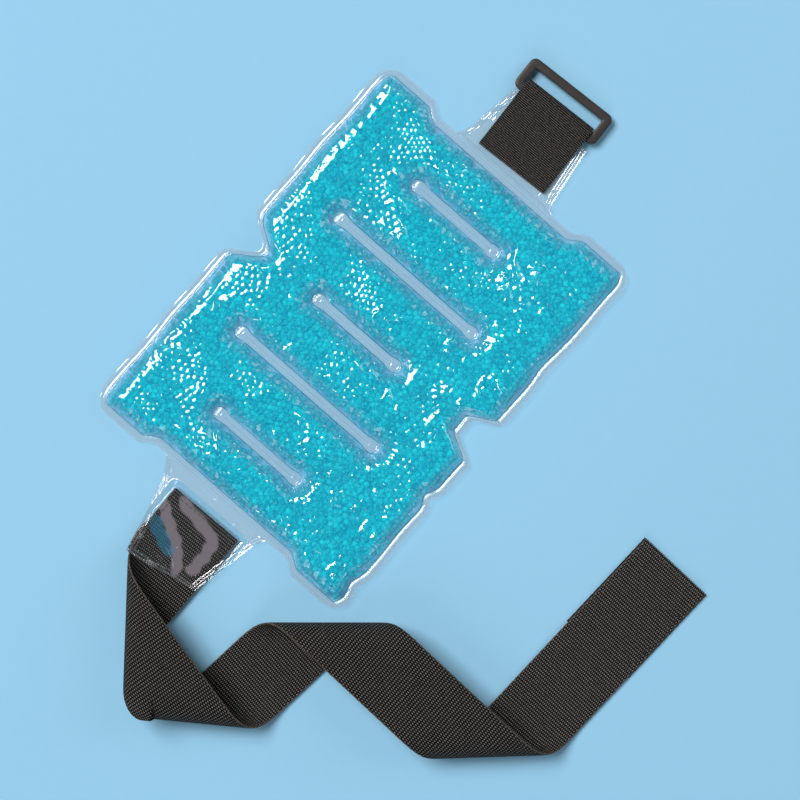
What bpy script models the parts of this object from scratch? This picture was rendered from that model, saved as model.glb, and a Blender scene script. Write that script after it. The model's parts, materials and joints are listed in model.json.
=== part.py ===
"""Cold compression wrap: a gel-bead pad with welded flex slots, a buckle tab and a long elastic strap.

Frame: +X runs along the pad from the strap end to the buckle end, +Y across it and +Z up.
The origin is on the underside of pad segment 3, the segment on the strap side of the waist.
Sizes are in metres.
"""

import math

import bpy
import numpy as np

# Clearance between neighbouring pieces, and sheet thicknesses
GAP = 0.0003
FILM = 0.0006
WEBBING = 0.0014
HOOK = 0.0011
THREAD = 0.0005

# Pad: six segments between five weld slots, with a waist notch on each long side
SEGMENTS = 6
PITCH = 0.046
PAD_LENGTH = SEGMENTS * PITCH
PAD_WIDTH = 0.202
PAD_CENTRE = (0.5 * PITCH, -0.0015)
CORNER_RADIUS = 0.014
EAR = 0.006
EAR_FROM = 0.052
EAR_BLEND = 0.012
NOTCH_DEPTH = 0.016
NOTCH_REACH = 0.019
RIM = 0.005
WELD_HEIGHT = 0.0035
CROWN = 0.0095
CROWN_RUN = 0.013
BELLY_RUN = 0.009
SLOT_WIDTH = 0.0064
SLOT_LONG = 0.114
SLOT_SHORT = 0.069
SLOT_CENTRE = 0.005
SLOT_END_RUN = 0.010
RIM_STEP = 0.005
EDGE_RUN = 0.017
MIDDLE_STEP = 0.012
HOLD = 0.050
FILM_COLUMNS = 9
GEL_GAP = 0.0006
GEL_TOP_GAP = 0.15 * CROWN
GEL_SHARE = 0.65
GEL_STEP = 0.2

# Curl: each weld line folds upward by this much, so the flanks lean back by a little over half of it
FOLD = math.radians(30)
FLANK_SPARE = math.radians(0.7)
FLANK = math.tan(0.5 * FOLD + FLANK_SPARE)
FLANK_RUN = 0.009

# Buckle tab, its webbing and the ring
TAB_ROOT_HALF = 0.034
TAB_TIP_HALF = 0.030
TAB_LENGTH = 0.043
TAB_DROP_RUN = 0.0035
POCKET_DROP_RUN = 0.009
STRAP_WIDTH = 0.050
WEBBING_INSET = 0.0055
RING_YAW = math.radians(3)
RING_REACH = 0.0572
RING_CENTRE_Y = 0.001
RING_BAR = 0.0054
RING_THICKNESS = 0.0042
RING_CLEARANCE = 0.0014
RING_GAP = 0.0108
RING_CORNER = 0.0042
RING_SEAT = 0.0004
LOOP_SLACK = 0.00195
LEAF_SLOPE_RUN = 0.016

# Strap pocket
POCKET_ROOT_HALF = 0.038
POCKET_MOUTH_HALF = 0.0245
POCKET_LENGTH = 0.054
POCKET_MOUTH_SKEW = 0.0035
POCKET_CENTRE_Y = 0.0005
TENT_CLEARANCE = 0.0041
TENT_SLOPE = 0.9
TENT_REACH = 0.020
TENT_CELLS = 16

# Elastic strap: a flat strip laid with four rolled folds
STRAP_LENGTH = 0.575
STRAP_STATIONS = 107
HEM_STATIONS = 8
HOOK_STATIONS = 13
STRAP_INSET = 0.0117
STRAP_START_Y = -0.0006
STRAP_HEADING = math.radians(181.04)
STITCH_INSET = 0.003
STITCH_LIFT = 0.0005
STITCH_STEPS = 8
# Each fold: distance along the strap, angle of its normal to the strap, length of its roll, turn
STRAP_FOLDS = (
    (0.04262, math.radians(-51.90), 0.04973, math.radians(179.70)),
    (0.13203, math.radians(41.54), 0.05269, math.radians(178.75)),
    (0.23629, math.radians(47.01), 0.05163, math.radians(180.98)),
    (0.37427, math.radians(45.05), 0.05136, math.radians(180.21)),
)
ROLL_STEPS = 64

HALF_LENGTH = 0.5 * PAD_LENGTH
HALF_WIDTH = 0.5 * PAD_WIDTH
STRAP_MID_Z = FILM + GAP + WEBBING + GAP + 0.5 * WEBBING
TAB_MID_Z = WEBBING + GAP + FILM + 0.5 * GAP
BAR_Z = WEBBING + 0.5 * RING_BAR + RING_SEAT

BUCKLE_ROOT_X = PAD_CENTRE[0] + HALF_LENGTH - EAR
POCKET_ROOT_X = PAD_CENTRE[0] - HALF_LENGTH + EAR
RING_CENTRE_X = BUCKLE_ROOT_X + RING_REACH
BAR_X = RING_CENTRE_X - 0.5 * (RING_GAP + RING_BAR)
STRAP_START_X = POCKET_ROOT_X - STRAP_INSET
HEM_LENGTH = HEM_STATIONS * STRAP_LENGTH / STRAP_STATIONS
HOOK_LENGTH = HOOK_STATIONS * STRAP_LENGTH / STRAP_STATIONS
TAB_AXIS_Z = WELD_HEIGHT + 0.5 * GAP + FILM


def clear_scene():
    for obj in list(bpy.data.objects):
        bpy.data.objects.remove(obj, do_unlink=True)


def make_material(name, colour, roughness, alpha=1.0):
    material = bpy.data.materials.new(name)
    material.use_nodes = True
    shader = material.node_tree.nodes["Principled BSDF"]
    shader.inputs["Base Color"].default_value = (*colour, 1.0)
    shader.inputs["Roughness"].default_value = roughness
    shader.inputs["Metallic"].default_value = 0.0
    shader.inputs["Alpha"].default_value = alpha
    return material


def make_object(name, points, faces, material, origin=(0.0, 0.0, 0.0), yaw=0.0):
    """Makes a node with its origin on its joint's axis; the points are given before the yaw about it."""
    mesh = bpy.data.meshes.new(name)
    mesh.from_pydata((np.asarray(points) - origin).tolist(), [], faces)
    mesh.materials.append(material)
    mesh.shade_smooth()
    mesh.set_sharp_from_angle(angle=math.radians(35))
    obj = bpy.data.objects.new(name, mesh)
    obj.location = origin
    obj.rotation_euler = (0.0, 0.0, yaw)
    bpy.context.scene.collection.objects.link(obj)
    return obj


def slab(name, upper, lower, material, origin=(0.0, 0.0, 0.0), yaw=0.0):
    """A closed sheet between two grids of points that share rows and columns.

    Every cell is cut along the same diagonal, so that sheets on matching grids lie face to face.
    """
    rows, columns = upper.shape[:2]
    count = rows * columns
    index = np.arange(count).reshape(rows, columns)
    low = index + count
    faces = []
    for i in range(rows - 1):
        for j in range(columns - 1):
            near, far = (i, j), (i + 1, j + 1)
            ahead, beside = (i + 1, j), (i, j + 1)
            faces += [[index[near], index[ahead], index[far]], [index[near], index[far], index[beside]]]
            faces += [[low[near], low[far], low[ahead]], [low[near], low[beside], low[far]]]
    border = [index[i, 0] for i in range(rows)]
    border += [index[-1, j] for j in range(1, columns)]
    border += [index[i, -1] for i in range(rows - 2, -1, -1)]
    border += [index[0, j] for j in range(columns - 2, 0, -1)]
    for a, b in zip(border, border[1:] + border[:1]):
        faces.append([b, a, a + count, b + count])
    faces = [[int(corner) for corner in face] for face in faces]
    points = np.concatenate([upper.reshape(-1, 3), lower.reshape(-1, 3)])
    return make_object(name, points, faces, material, origin, yaw)


def smoothstep(value):
    value = np.clip(value, 0.0, 1.0)
    return value * value * (3.0 - 2.0 * value)


def rounded_rise(value):
    """A quarter-circle rise from 0 to 1."""
    value = np.clip(value, 0.0, 1.0)
    return np.sqrt(1.0 - (1.0 - value) ** 2)


# ---------------------------------------------------------------- pad

def side_reach(px):
    """Half the pad's width at px: rounded corners at the ends and a notch at the waist."""
    over = np.clip(np.abs(px) - (HALF_LENGTH - CORNER_RADIUS), 0.0, CORNER_RADIUS)
    corner = CORNER_RADIUS - np.sqrt(CORNER_RADIUS**2 - over**2)
    near_waist = np.clip(np.abs(px) / NOTCH_REACH, 0.0, 1.0)
    notch = NOTCH_DEPTH * 0.5 * (1.0 + np.cos(math.pi * near_waist))
    return HALF_WIDTH - corner - notch


def end_reach(py):
    """Half the pad's length at py: the corners stand out past the middle of each short side as ears."""
    return HALF_LENGTH - EAR * (1.0 - smoothstep((np.abs(py) - EAR_FROM) / EAR_BLEND))


def slot_half_length(line):
    """Half-length of the weld slot on a weld line; the lines alternate, and the waist's is short."""
    return 0.5 * (SLOT_LONG if line % 2 else SLOT_SHORT)


def depth_from_welds(px, py):
    """Distance into the gel from the nearest weld: the rim or one of the slots."""
    depth = np.minimum(side_reach(px) - RIM - np.abs(py), end_reach(py) - RIM - np.abs(px))
    for line in range(1, SEGMENTS):
        line_x = line * PITCH - HALF_LENGTH
        straight = slot_half_length(line - 1) - 0.5 * SLOT_WIDTH
        past = np.maximum(np.abs(py - SLOT_CENTRE) - straight, 0.0)
        depth = np.minimum(depth, np.hypot(px - line_x, past) - 0.5 * SLOT_WIDTH)
    return np.maximum(depth, 0.0)


def upper_envelope(px, py):
    return WELD_HEIGHT + CROWN * rounded_rise(depth_from_welds(px, py) / CROWN_RUN)


def lower_envelope(px, py):
    floor = FILM + 0.5 * GAP
    return floor + (WELD_HEIGHT - floor) * (1.0 - rounded_rise(depth_from_welds(px, py) / BELLY_RUN))


def row_marks():
    """Rows that follow the slots: at each slot's ends, just past them and beside its middle."""
    marks = [SLOT_CENTRE - MIDDLE_STEP, SLOT_CENTRE + MIDDLE_STEP]
    for half in (0.5 * SLOT_SHORT, 0.5 * SLOT_LONG):
        for reach in (half, half + SLOT_END_RUN):
            marks += [SLOT_CENTRE - reach, SLOT_CENTRE + reach]
    return sorted(marks)


def squeezed(mark, inner):
    """A row's place, pulled in past the slots where the waist notch narrows the pad."""
    full = HALF_WIDTH - EDGE_RUN
    if abs(mark) <= HOLD:
        return np.full_like(inner, mark)
    return math.copysign(1.0, mark) * (HOLD + (abs(mark) - HOLD) * (inner - HOLD) / (full - HOLD))


def segment_grid(segment, lean):
    """Grid of pad points over one segment, in the pad's own coordinates: rows along Y, columns along X.

    lean is how far the flank leans back from each weld line at a given row.
    """
    first = segment * PITCH - HALF_LENGTH
    at_start = segment == 0
    at_end = segment == SEGMENTS - 1
    slot_side = [0.0, 0.5 * SLOT_WIDTH, FLANK_RUN, EDGE_RUN]
    rim_side = [0.0, RIM, RIM + RIM_STEP, EDGE_RUN]
    left = rim_side if at_start else slot_side
    right = rim_side if at_end else slot_side
    offsets = np.array(left + [0.5 * PITCH] + [PITCH - value for value in reversed(right)])
    from_side = np.array(rim_side)
    nominal = first + offsets
    reach = side_reach(nominal)
    rows = [-reach + value for value in from_side]
    rows += [squeezed(mark, reach - from_side[-1]) for mark in row_marks()]
    rows += [reach - value for value in reversed(from_side)]
    py = np.array(rows)
    px = np.tile(nominal, (len(rows), 1))
    if at_start:
        px = first + PITCH - (first + PITCH - px) * (end_reach(py) + first + PITCH) / PITCH
    else:
        px = px + (0.5 * GAP + lean(first, py)) * np.clip(1.0 - offsets / FLANK_RUN, 0.0, 1.0)
    if at_end:
        px = first + (px - first) * (end_reach(py) - first) / PITCH
    else:
        back = PITCH - offsets
        px = px - (0.5 * GAP + lean(first + PITCH, py)) * np.clip(1.0 - back / FLANK_RUN, 0.0, 1.0)
    return px, py


def flank_lean(line_x, py):
    return (upper_envelope(np.full_like(py, line_x), py) + FILM - WELD_HEIGHT) * FLANK


def upright(line_x, py):
    return np.zeros_like(py)


def pad_points(px, py, z):
    return np.stack([px + PAD_CENTRE[0], py + PAD_CENTRE[1], z], axis=-1)


def slot_share(line, py):
    """1 beside a weld slot, falling to 0 past its ends."""
    past = np.abs(py - SLOT_CENTRE) - slot_half_length(line)
    return 1.0 - smoothstep(past / SLOT_END_RUN)


def gel_columns(segment, py):
    """Where the gel's columns lie, counted in columns of the film's grid."""
    last = FILM_COLUMNS - 1
    left = [np.full_like(py, 1.0 + GEL_SHARE)]
    right = [np.full_like(py, last - 1.0 - GEL_SHARE)]
    if segment > 0:
        beside = slot_share(segment - 1, py)
        left = [(1.0 + GEL_SHARE) * beside, 1.0 + (GEL_SHARE + GEL_STEP) * beside]
    if segment < SEGMENTS - 1:
        beside = slot_share(segment, py)
        right = [last - 1.0 - (GEL_SHARE + GEL_STEP) * beside, last - (1.0 + GEL_SHARE) * beside]
    middle = [np.full_like(py, float(place)) for place in range(2, last - 1)]
    return np.stack(left + middle + right, axis=1)


def between(grid, places):
    """Points of a grid at fractional places along its second axis, one list of places for each row."""
    low = np.minimum(places.astype(int), grid.shape[1] - 2)
    share = (places - low)[..., None]
    row = np.arange(len(grid))[:, None]
    return grid[row, low] * (1.0 - share) + grid[row, low + 1] * share


def gel_face(segment, film_face):
    """The gel's face against a film: the film's own grid, stopping short of the rim and the slots."""
    py = film_face[:, film_face.shape[1] // 2, 1] - PAD_CENTRE[1]
    face = between(film_face, gel_columns(segment, py))
    welded = np.zeros(face.shape[:2])
    welded[:, 0] = slot_share(segment - 1, py) if segment > 0 else 1.0
    welded[:, -1] = slot_share(segment, py) if segment < SEGMENTS - 1 else 1.0
    edge_z = WELD_HEIGHT + GEL_TOP_GAP - GEL_GAP
    face[..., 2] += (edge_z - face[..., 2]) * welded * (face[..., 2] > edge_z)
    last = len(face) - 1
    places = np.array([1.0 + GEL_SHARE] + list(range(2, last - 1)) + [last - 1.0 - GEL_SHARE])
    face = between(face.swapaxes(0, 1), np.tile(places, (face.shape[1], 1)))
    face[:, [0, -1], 2] = np.minimum(face[:, [0, -1], 2], edge_z)
    return face


def segment_origin(segment):
    """A segment's hinge point: on the weld line between it and its neighbour toward segment 3."""
    root = SEGMENTS // 2 - 1
    if segment == root:
        return (0.0, 0.0, 0.0)
    line = segment + 1 if segment < root else segment
    return (line * PITCH - HALF_LENGTH + PAD_CENTRE[0], PAD_CENTRE[1], WELD_HEIGHT)


def build_pad(film, gel):
    for segment in range(SEGMENTS):
        origin = segment_origin(segment)
        label = segment + 1
        px, py = segment_grid(segment, flank_lean)
        top_inner = pad_points(px, py, upper_envelope(px, py) + 0.5 * GAP)
        px, py = segment_grid(segment, upright)
        bottom_inner = pad_points(px, py, lower_envelope(px, py) - 0.5 * GAP)
        for name, lower in (("film_top", top_inner), ("film_bottom", bottom_inner - (0.0, 0.0, FILM))):
            upper = lower + (0.0, 0.0, FILM)
            slab(f"{name}_{label}", upper.swapaxes(0, 1), lower.swapaxes(0, 1), film, origin)
        gel_upper = gel_face(segment, top_inner) - (0.0, 0.0, GEL_TOP_GAP)
        gel_lower = gel_face(segment, bottom_inner) + (0.0, 0.0, GEL_GAP)
        slab(f"gel_fill_{label}", gel_upper, gel_lower, gel, origin)


# ---------------------------------------------------------------- strap

def roll_profile(share, length, turn):
    """Place and height along a roll whose slope grows smoothly from 0 to the turn."""
    steps = np.linspace(0.0, 1.0, ROLL_STEPS + 1)
    slope = turn * smoothstep(steps)
    ahead = np.concatenate([[0.0], np.cumsum(0.5 * (np.cos(slope[1:]) + np.cos(slope[:-1])))])
    above = np.concatenate([[0.0], np.cumsum(0.5 * (np.sin(slope[1:]) + np.sin(slope[:-1])))])
    ahead *= length / ROLL_STEPS
    above *= length / ROLL_STEPS
    return np.interp(share, steps, ahead), np.interp(share, steps, above), ahead[-1], above[-1]


def lay_strip(along, across):
    """Rolls the flat strip at each fold, last fold first, and lays it down from the pocket."""
    x, y, z = along.copy(), across.copy(), np.zeros_like(along)
    for start, angle, length, turn in reversed(STRAP_FOLDS):
        cos_a, sin_a = math.cos(angle), math.sin(angle)
        flat = (along - start) * cos_a + across * sin_a
        normal = (x - start) * cos_a + y * sin_a
        beside = -(x - start) * sin_a + y * cos_a
        ahead, above, end_ahead, end_above = roll_profile(np.clip(flat / length, 0.0, 1.0), length, turn)
        far = end_ahead + (normal - length) * math.cos(turn) - z * math.sin(turn)
        far_z = end_above + (normal - length) * math.sin(turn) + z * math.cos(turn)
        rolling = (flat > 0.0) & (flat < length)
        new_normal = np.where(flat <= 0.0, normal, np.where(rolling, ahead, far))
        z = np.where(flat <= 0.0, z, np.where(rolling, above, far_z))
        x = start + new_normal * cos_a - beside * sin_a
        y = new_normal * sin_a + beside * cos_a
    cos_h, sin_h = math.cos(STRAP_HEADING), math.sin(STRAP_HEADING)
    world_x = STRAP_START_X + x * cos_h - y * sin_h
    world_y = STRAP_START_Y + x * sin_h + y * cos_h
    return np.stack([world_x, world_y, z + STRAP_MID_Z], axis=-1)


def strip_normal(along, across):
    """Unit normal of the laid strip, from small steps along and across it."""
    step = 0.0002
    tangent = lay_strip(along + step, across) - lay_strip(along - step, across)
    width = lay_strip(along, across + step) - lay_strip(along, across - step)
    normal = np.cross(tangent, width)
    return normal / np.linalg.norm(normal, axis=-1, keepdims=True)


def strip_slab(name, first, last, offset, thickness, material, origin):
    """A layer of the strap between two of its stations, offset from the strap's middle surface."""
    along, across = np.meshgrid(
        np.arange(first, last + 1) * STRAP_LENGTH / STRAP_STATIONS,
        np.linspace(-0.5 * STRAP_WIDTH, 0.5 * STRAP_WIDTH, 5),
        indexing="ij",
    )
    middle = lay_strip(along, across)
    normal = strip_normal(along, across)
    upper = middle + normal * (offset + 0.5 * thickness)
    lower = middle + normal * (offset - 0.5 * thickness)
    return slab(name, upper, lower, material, origin)


def strip_stitching(name, start, end, half_width, offset, material, origin):
    """One closed line of thread around a patch, lying on the strip's face."""
    corners = [(start, -half_width), (end, -half_width), (end, half_width), (start, half_width)]
    along, across = [], []
    for (s0, w0), (s1, w1) in zip(corners, corners[1:] + corners[:1]):
        for share in (np.arange(STITCH_STEPS) + 0.5) / STITCH_STEPS:
            along.append(s0 + (s1 - s0) * share)
            across.append(w0 + (w1 - w0) * share)
    along, across = np.array(along), np.array(across)
    normal = strip_normal(along, across)
    centre = lay_strip(along, across) + normal * offset
    return closed_tube(name, centre, normal, 0.5 * THREAD, 0.5 * THREAD, 6, material, origin)


def closed_tube(name, centre, up, half_side, half_up, sides, material, origin, yaw=0.0):
    """A closed ring of constant oval section; half_side is across the path and half_up along up."""
    tangent = np.roll(centre, -1, axis=0) - np.roll(centre, 1, axis=0)
    tangent /= np.linalg.norm(tangent, axis=1, keepdims=True)
    side = np.cross(tangent, up)
    side /= np.linalg.norm(side, axis=1, keepdims=True)
    turn = 2.0 * math.pi * (np.arange(sides) + 0.5) / sides
    points = (
        centre[:, None]
        + side[:, None] * (half_side * np.cos(turn))[None, :, None]
        + up[:, None] * (half_up * np.sin(turn))[None, :, None]
    )
    count = len(centre)
    faces = []
    for i in range(count):
        for j in range(sides):
            ahead, beside = (i + 1) % count, (j + 1) % sides
            faces.append([i * sides + j, ahead * sides + j, ahead * sides + beside, i * sides + beside])
    return make_object(name, points.reshape(-1, 3), faces, material, origin, yaw)


def build_strap(elastic, thread, hook):
    origin = (POCKET_ROOT_X - 0.5 * GAP, POCKET_CENTRE_Y, TAB_AXIS_Z)
    layer = 0.5 * WEBBING + GAP
    inside = 0.5 * STRAP_WIDTH - STITCH_INSET
    stitch_offset = layer + STITCH_LIFT
    hook_first = STRAP_STATIONS - HOOK_STATIONS
    strip_slab("elastic_strap", 0, STRAP_STATIONS, 0.0, WEBBING, elastic, origin)
    strip_slab("strap_hem", 0, HEM_STATIONS, -layer - 0.5 * WEBBING, WEBBING, elastic, origin)
    strip_slab("hook_patch", hook_first, STRAP_STATIONS, -layer - 0.5 * HOOK, HOOK, hook, origin)
    strip_stitching(
        "hem_stitching", STITCH_INSET, HEM_LENGTH - STITCH_INSET, inside, stitch_offset, thread, origin
    )
    strip_stitching(
        "hook_stitching", STRAP_LENGTH - HOOK_LENGTH + STITCH_INSET, STRAP_LENGTH - STITCH_INSET,
        inside, stitch_offset, thread, origin,
    )


# ---------------------------------------------------------------- tabs

def tab_grid(root_x, tip_x, root_half, tip_half, centre_y, skew, drop_run, columns, rows):
    """Grid over a tapering tab from its root at the pad to its tip, with a line where its drop ends."""
    first = drop_run / abs(tip_x - root_x)
    share = np.concatenate([[0.0], np.linspace(first, 1.0, columns)])
    across = np.linspace(-1.0, 1.0, rows + 1)
    share, across = np.meshgrid(share, across, indexing="ij")
    half = root_half + (tip_half - root_half) * share**0.8
    x = root_x + (tip_x + skew * across - root_x) * share
    return x, centre_y + half * across


def oriented(x, grid):
    """Grids that run toward -X are flipped so that their upper face looks up."""
    return grid[::-1] if x[-1, 0] < x[0, 0] else grid


def build_buckle_tab(film, elastic, plastic):
    origin = (BUCKLE_ROOT_X + 0.5 * GAP, 0.0, TAB_AXIS_Z)
    x, y = tab_grid(
        BUCKLE_ROOT_X + GAP, BUCKLE_ROOT_X + TAB_LENGTH, TAB_ROOT_HALF, TAB_TIP_HALF,
        0.0, 0.0, TAB_DROP_RUN, 7, 6,
    )
    drop = smoothstep((x - BUCKLE_ROOT_X) / TAB_DROP_RUN)
    middle = WELD_HEIGHT + (TAB_MID_Z - WELD_HEIGHT) * drop
    for name, low in (("buckle_tab_film_top", 0.5 * GAP), ("buckle_tab_film_bottom", -0.5 * GAP - FILM)):
        lower = np.stack([x, y, middle + low], axis=-1)
        upper = np.stack([x, y, middle + low + FILM], axis=-1)
        slab(name, upper, lower, film, origin)
    build_webbing_loop(elastic)
    build_ring(plastic)


def build_webbing_loop(elastic):
    """Webbing folded round the ring's near bar: one leaf under the tab film and one over it."""
    radius = BAR_Z - 0.5 * WEBBING
    arc_x = BAR_X + LOOP_SLACK
    over_film = TAB_MID_Z + 0.5 * GAP + FILM + GAP + 0.5 * WEBBING
    path = [(x, 0.5 * WEBBING) for x in np.linspace(BUCKLE_ROOT_X + WEBBING_INSET, arc_x, 5)]
    for step in range(1, 9):
        turn = math.pi * step / 8.0
        path.append((arc_x + radius * math.sin(turn), BAR_Z - radius * math.cos(turn)))
    slope_end = BAR_X - 0.5 * RING_BAR - GAP
    top = BAR_Z + radius
    for share in np.linspace(0.0, 1.0, 6):
        path.append((slope_end - LEAF_SLOPE_RUN * share, top + (over_film - top) * float(smoothstep(share))))
    flat = np.linspace(slope_end - LEAF_SLOPE_RUN, BUCKLE_ROOT_X + WEBBING_INSET, 4)[1:]
    path += [(x, over_film) for x in flat]
    path = np.array(path)
    tangent = np.gradient(path, axis=0)
    tangent /= np.linalg.norm(tangent, axis=1, keepdims=True)
    inward = np.stack([-tangent[:, 1], tangent[:, 0]], axis=1)
    outer = path - 0.5 * WEBBING * inward
    inner = path + 0.5 * WEBBING * inward
    across = np.linspace(-0.5 * STRAP_WIDTH, 0.5 * STRAP_WIDTH, 3) + RING_CENTRE_Y

    def sheet(profile):
        x = np.repeat(profile[:, :1], len(across), axis=1)
        z = np.repeat(profile[:, 1:], len(across), axis=1)
        return np.stack([x, np.broadcast_to(across, x.shape), z], axis=-1)

    origin = (BAR_X, RING_CENTRE_Y, BAR_Z)
    slab("webbing_loop", sheet(inner), sheet(outer), elastic, origin, RING_YAW)


def build_ring(plastic):
    """Rectangular ring of oval bar; it turns about its near bar inside the webbing."""
    half_x = 0.5 * (RING_GAP + RING_BAR)
    half_y = 0.5 * (STRAP_WIDTH + RING_CLEARANCE + RING_BAR)
    corners = [(1, 1), (-1, 1), (-1, -1), (1, -1)]
    centre = []
    for quarter, (sx, sy) in enumerate(corners):
        cx = RING_CENTRE_X + sx * (half_x - RING_CORNER)
        cy = RING_CENTRE_Y + sy * (half_y - RING_CORNER)
        for step in range(5):
            turn = 0.5 * math.pi * (quarter + step / 4.0)
            centre.append((cx + RING_CORNER * math.cos(turn), cy + RING_CORNER * math.sin(turn), BAR_Z))
    centre = np.array(centre)
    up = np.tile([0.0, 0.0, 1.0], (len(centre), 1))
    origin = (BAR_X, RING_CENTRE_Y, BAR_Z)
    closed_tube(
        "ring_buckle", centre, up, 0.5 * RING_BAR, 0.5 * RING_THICKNESS, 12, plastic, origin, RING_YAW
    )


def build_strap_pocket(film):
    """Two films around the strap's hem: the lower lies flat, the upper stands over the strap like a tent."""
    origin = (POCKET_ROOT_X - 0.5 * GAP, POCKET_CENTRE_Y, TAB_AXIS_Z)
    x, y = tab_grid(
        POCKET_ROOT_X - GAP, POCKET_ROOT_X - POCKET_LENGTH, POCKET_ROOT_HALF, POCKET_MOUTH_HALF,
        POCKET_CENTRE_Y, POCKET_MOUTH_SKEW, POCKET_DROP_RUN, TENT_CELLS, TENT_CELLS,
    )
    drop = smoothstep((POCKET_ROOT_X - x) / POCKET_DROP_RUN)
    lowest = FILM + 0.5 * GAP
    seam = WELD_HEIGHT + (lowest - WELD_HEIGHT) * drop
    along, across = np.meshgrid(
        np.linspace(0.0, HEM_LENGTH + TENT_REACH, 2 * TENT_CELLS),
        np.linspace(-0.5, 0.5, TENT_CELLS) * STRAP_WIDTH,
        indexing="ij",
    )
    strap = lay_strip(along, across).reshape(-1, 3)
    away = np.hypot(x[..., None] - strap[:, 0], y[..., None] - strap[:, 1])
    tent = np.max(strap[:, 2] + TENT_CLEARANCE - TENT_SLOPE * away, axis=-1)
    upper_inner = np.maximum(seam + 0.5 * GAP, tent)
    lower_outer = seam - 0.5 * GAP - FILM
    for name, z in (("pocket_film_top", upper_inner), ("pocket_film_bottom", lower_outer)):
        lower = oriented(x, np.stack([x, y, z], axis=-1))
        upper = oriented(x, np.stack([x, y, z + FILM], axis=-1))
        slab(name, upper, lower, film, origin)


def main():
    clear_scene()
    film = make_material("film", (0.70, 0.82, 0.88), 0.15, 0.35)
    gel = make_material("gel", (0.02, 0.45, 0.58), 0.25)
    elastic = make_material("elastic", (0.035, 0.033, 0.032), 0.85)
    hook = make_material("hook", (0.03, 0.03, 0.03), 0.75)
    thread = make_material("thread", (0.05, 0.05, 0.05), 0.7)
    plastic = make_material("ring_plastic", (0.06, 0.05, 0.045), 0.45)
    build_pad(film, gel)
    build_buckle_tab(film, elastic, plastic)
    build_strap_pocket(film)
    build_strap(elastic, thread, hook)


main()
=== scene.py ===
# %% [markdown]
# # Cold compression wrap
# A clear vinyl pad full of turquoise gel beads, with welded slots so that it can curl round a limb.
# A ring hangs on a webbing loop at one end, and a long elastic strap leaves a film pocket at the other.
# The frame below holds the working model: its sizes and joints are read from it, and nothing in it is moved.

# %% Load the working model
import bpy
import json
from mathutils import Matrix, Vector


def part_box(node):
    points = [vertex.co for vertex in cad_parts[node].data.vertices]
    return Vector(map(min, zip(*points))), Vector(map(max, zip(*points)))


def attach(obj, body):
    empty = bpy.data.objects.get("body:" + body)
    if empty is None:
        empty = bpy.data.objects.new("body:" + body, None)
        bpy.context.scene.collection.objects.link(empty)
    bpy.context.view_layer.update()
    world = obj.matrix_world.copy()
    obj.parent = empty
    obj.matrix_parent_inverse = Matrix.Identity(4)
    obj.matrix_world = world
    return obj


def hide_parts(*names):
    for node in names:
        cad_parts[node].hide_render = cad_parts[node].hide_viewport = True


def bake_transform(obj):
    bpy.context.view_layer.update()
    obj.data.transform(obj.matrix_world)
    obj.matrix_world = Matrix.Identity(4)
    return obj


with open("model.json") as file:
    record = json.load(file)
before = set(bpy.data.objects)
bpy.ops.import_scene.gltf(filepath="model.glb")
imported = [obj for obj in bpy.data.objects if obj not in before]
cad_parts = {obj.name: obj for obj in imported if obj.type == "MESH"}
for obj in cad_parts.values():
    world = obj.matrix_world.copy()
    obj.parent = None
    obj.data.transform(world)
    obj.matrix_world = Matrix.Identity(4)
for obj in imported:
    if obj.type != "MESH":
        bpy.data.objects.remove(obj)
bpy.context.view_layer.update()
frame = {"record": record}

import json
import math

import bpy
import numpy as np
from mathutils import Matrix

# %% [markdown]
# ## Camera
# The wrap lies flat and is seen from straight above, turned so that the pad runs up to the right.
# A long lens from over a metre keeps the view almost parallel, so the pad's sides hardly show.

# %% Camera
VIEW_TURN = math.radians(-48.81)
VIEW_CENTRE = (0.0096, -0.0434)
VIEW_HEIGHT = 1.2
VIEW_WIDTH = 0.4896
SENSOR = 36.0


def make_camera():
    camera = bpy.data.cameras.new("camera")
    camera.sensor_width = SENSOR
    camera.lens = SENSOR * VIEW_HEIGHT / VIEW_WIDTH
    holder = bpy.data.objects.new("camera", camera)
    place = Matrix.Translation((*VIEW_CENTRE, VIEW_HEIGHT))
    holder.matrix_world = place @ Matrix.Rotation(VIEW_TURN, 4, "Z")
    bpy.context.scene.collection.objects.link(holder)
    bpy.context.scene.camera = holder
    return holder


print("camera lens", round(make_camera().data.lens, 1), "mm")

# %% [markdown]
# ## Sizes
# The pad's box, the weld lines and the joints come from the working model.
# The six gel segments are equally wide, and a fold joint lies on each of the five weld lines between them.

# %% Sizes from the working model
SEGMENTS = 6


def node_box(*names):
    """The lowest and highest corners of several nodes together."""
    boxes = np.array([[list(corner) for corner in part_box(name)] for name in names])
    return boxes[:, 0].min(axis=0), boxes[:, 1].max(axis=0)


pad_nodes = [f"film_{side}_{k}" for side in ("top", "bottom") for k in range(1, SEGMENTS + 1)]
pad_low, pad_high = node_box(*pad_nodes)
HALF_LENGTH = 0.5 * (pad_high[0] - pad_low[0])
HALF_WIDTH = 0.5 * (pad_high[1] - pad_low[1])
PAD_X = 0.5 * (pad_low[0] + pad_high[0])
PAD_Y = 0.5 * (pad_low[1] + pad_high[1])
PITCH = 2.0 * HALF_LENGTH / SEGMENTS
joint_place = {joint["name"]: np.array(joint["pos_m"]) for joint in frame["record"]["behaviour"]["joints"]}
WELD_Z = joint_place["waist_fold"][2]
print("pad", round(2 * HALF_LENGTH, 4), "by", round(2 * HALF_WIDTH, 4), "pitch", round(PITCH, 4))

# %% [markdown]
# ## Meshes from grids
# Every soft surface here is a grid: one direction runs along the piece and the other across it.
# The helpers turn whole numpy grids into faces, so that no loop ever visits a single vertex.

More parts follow.
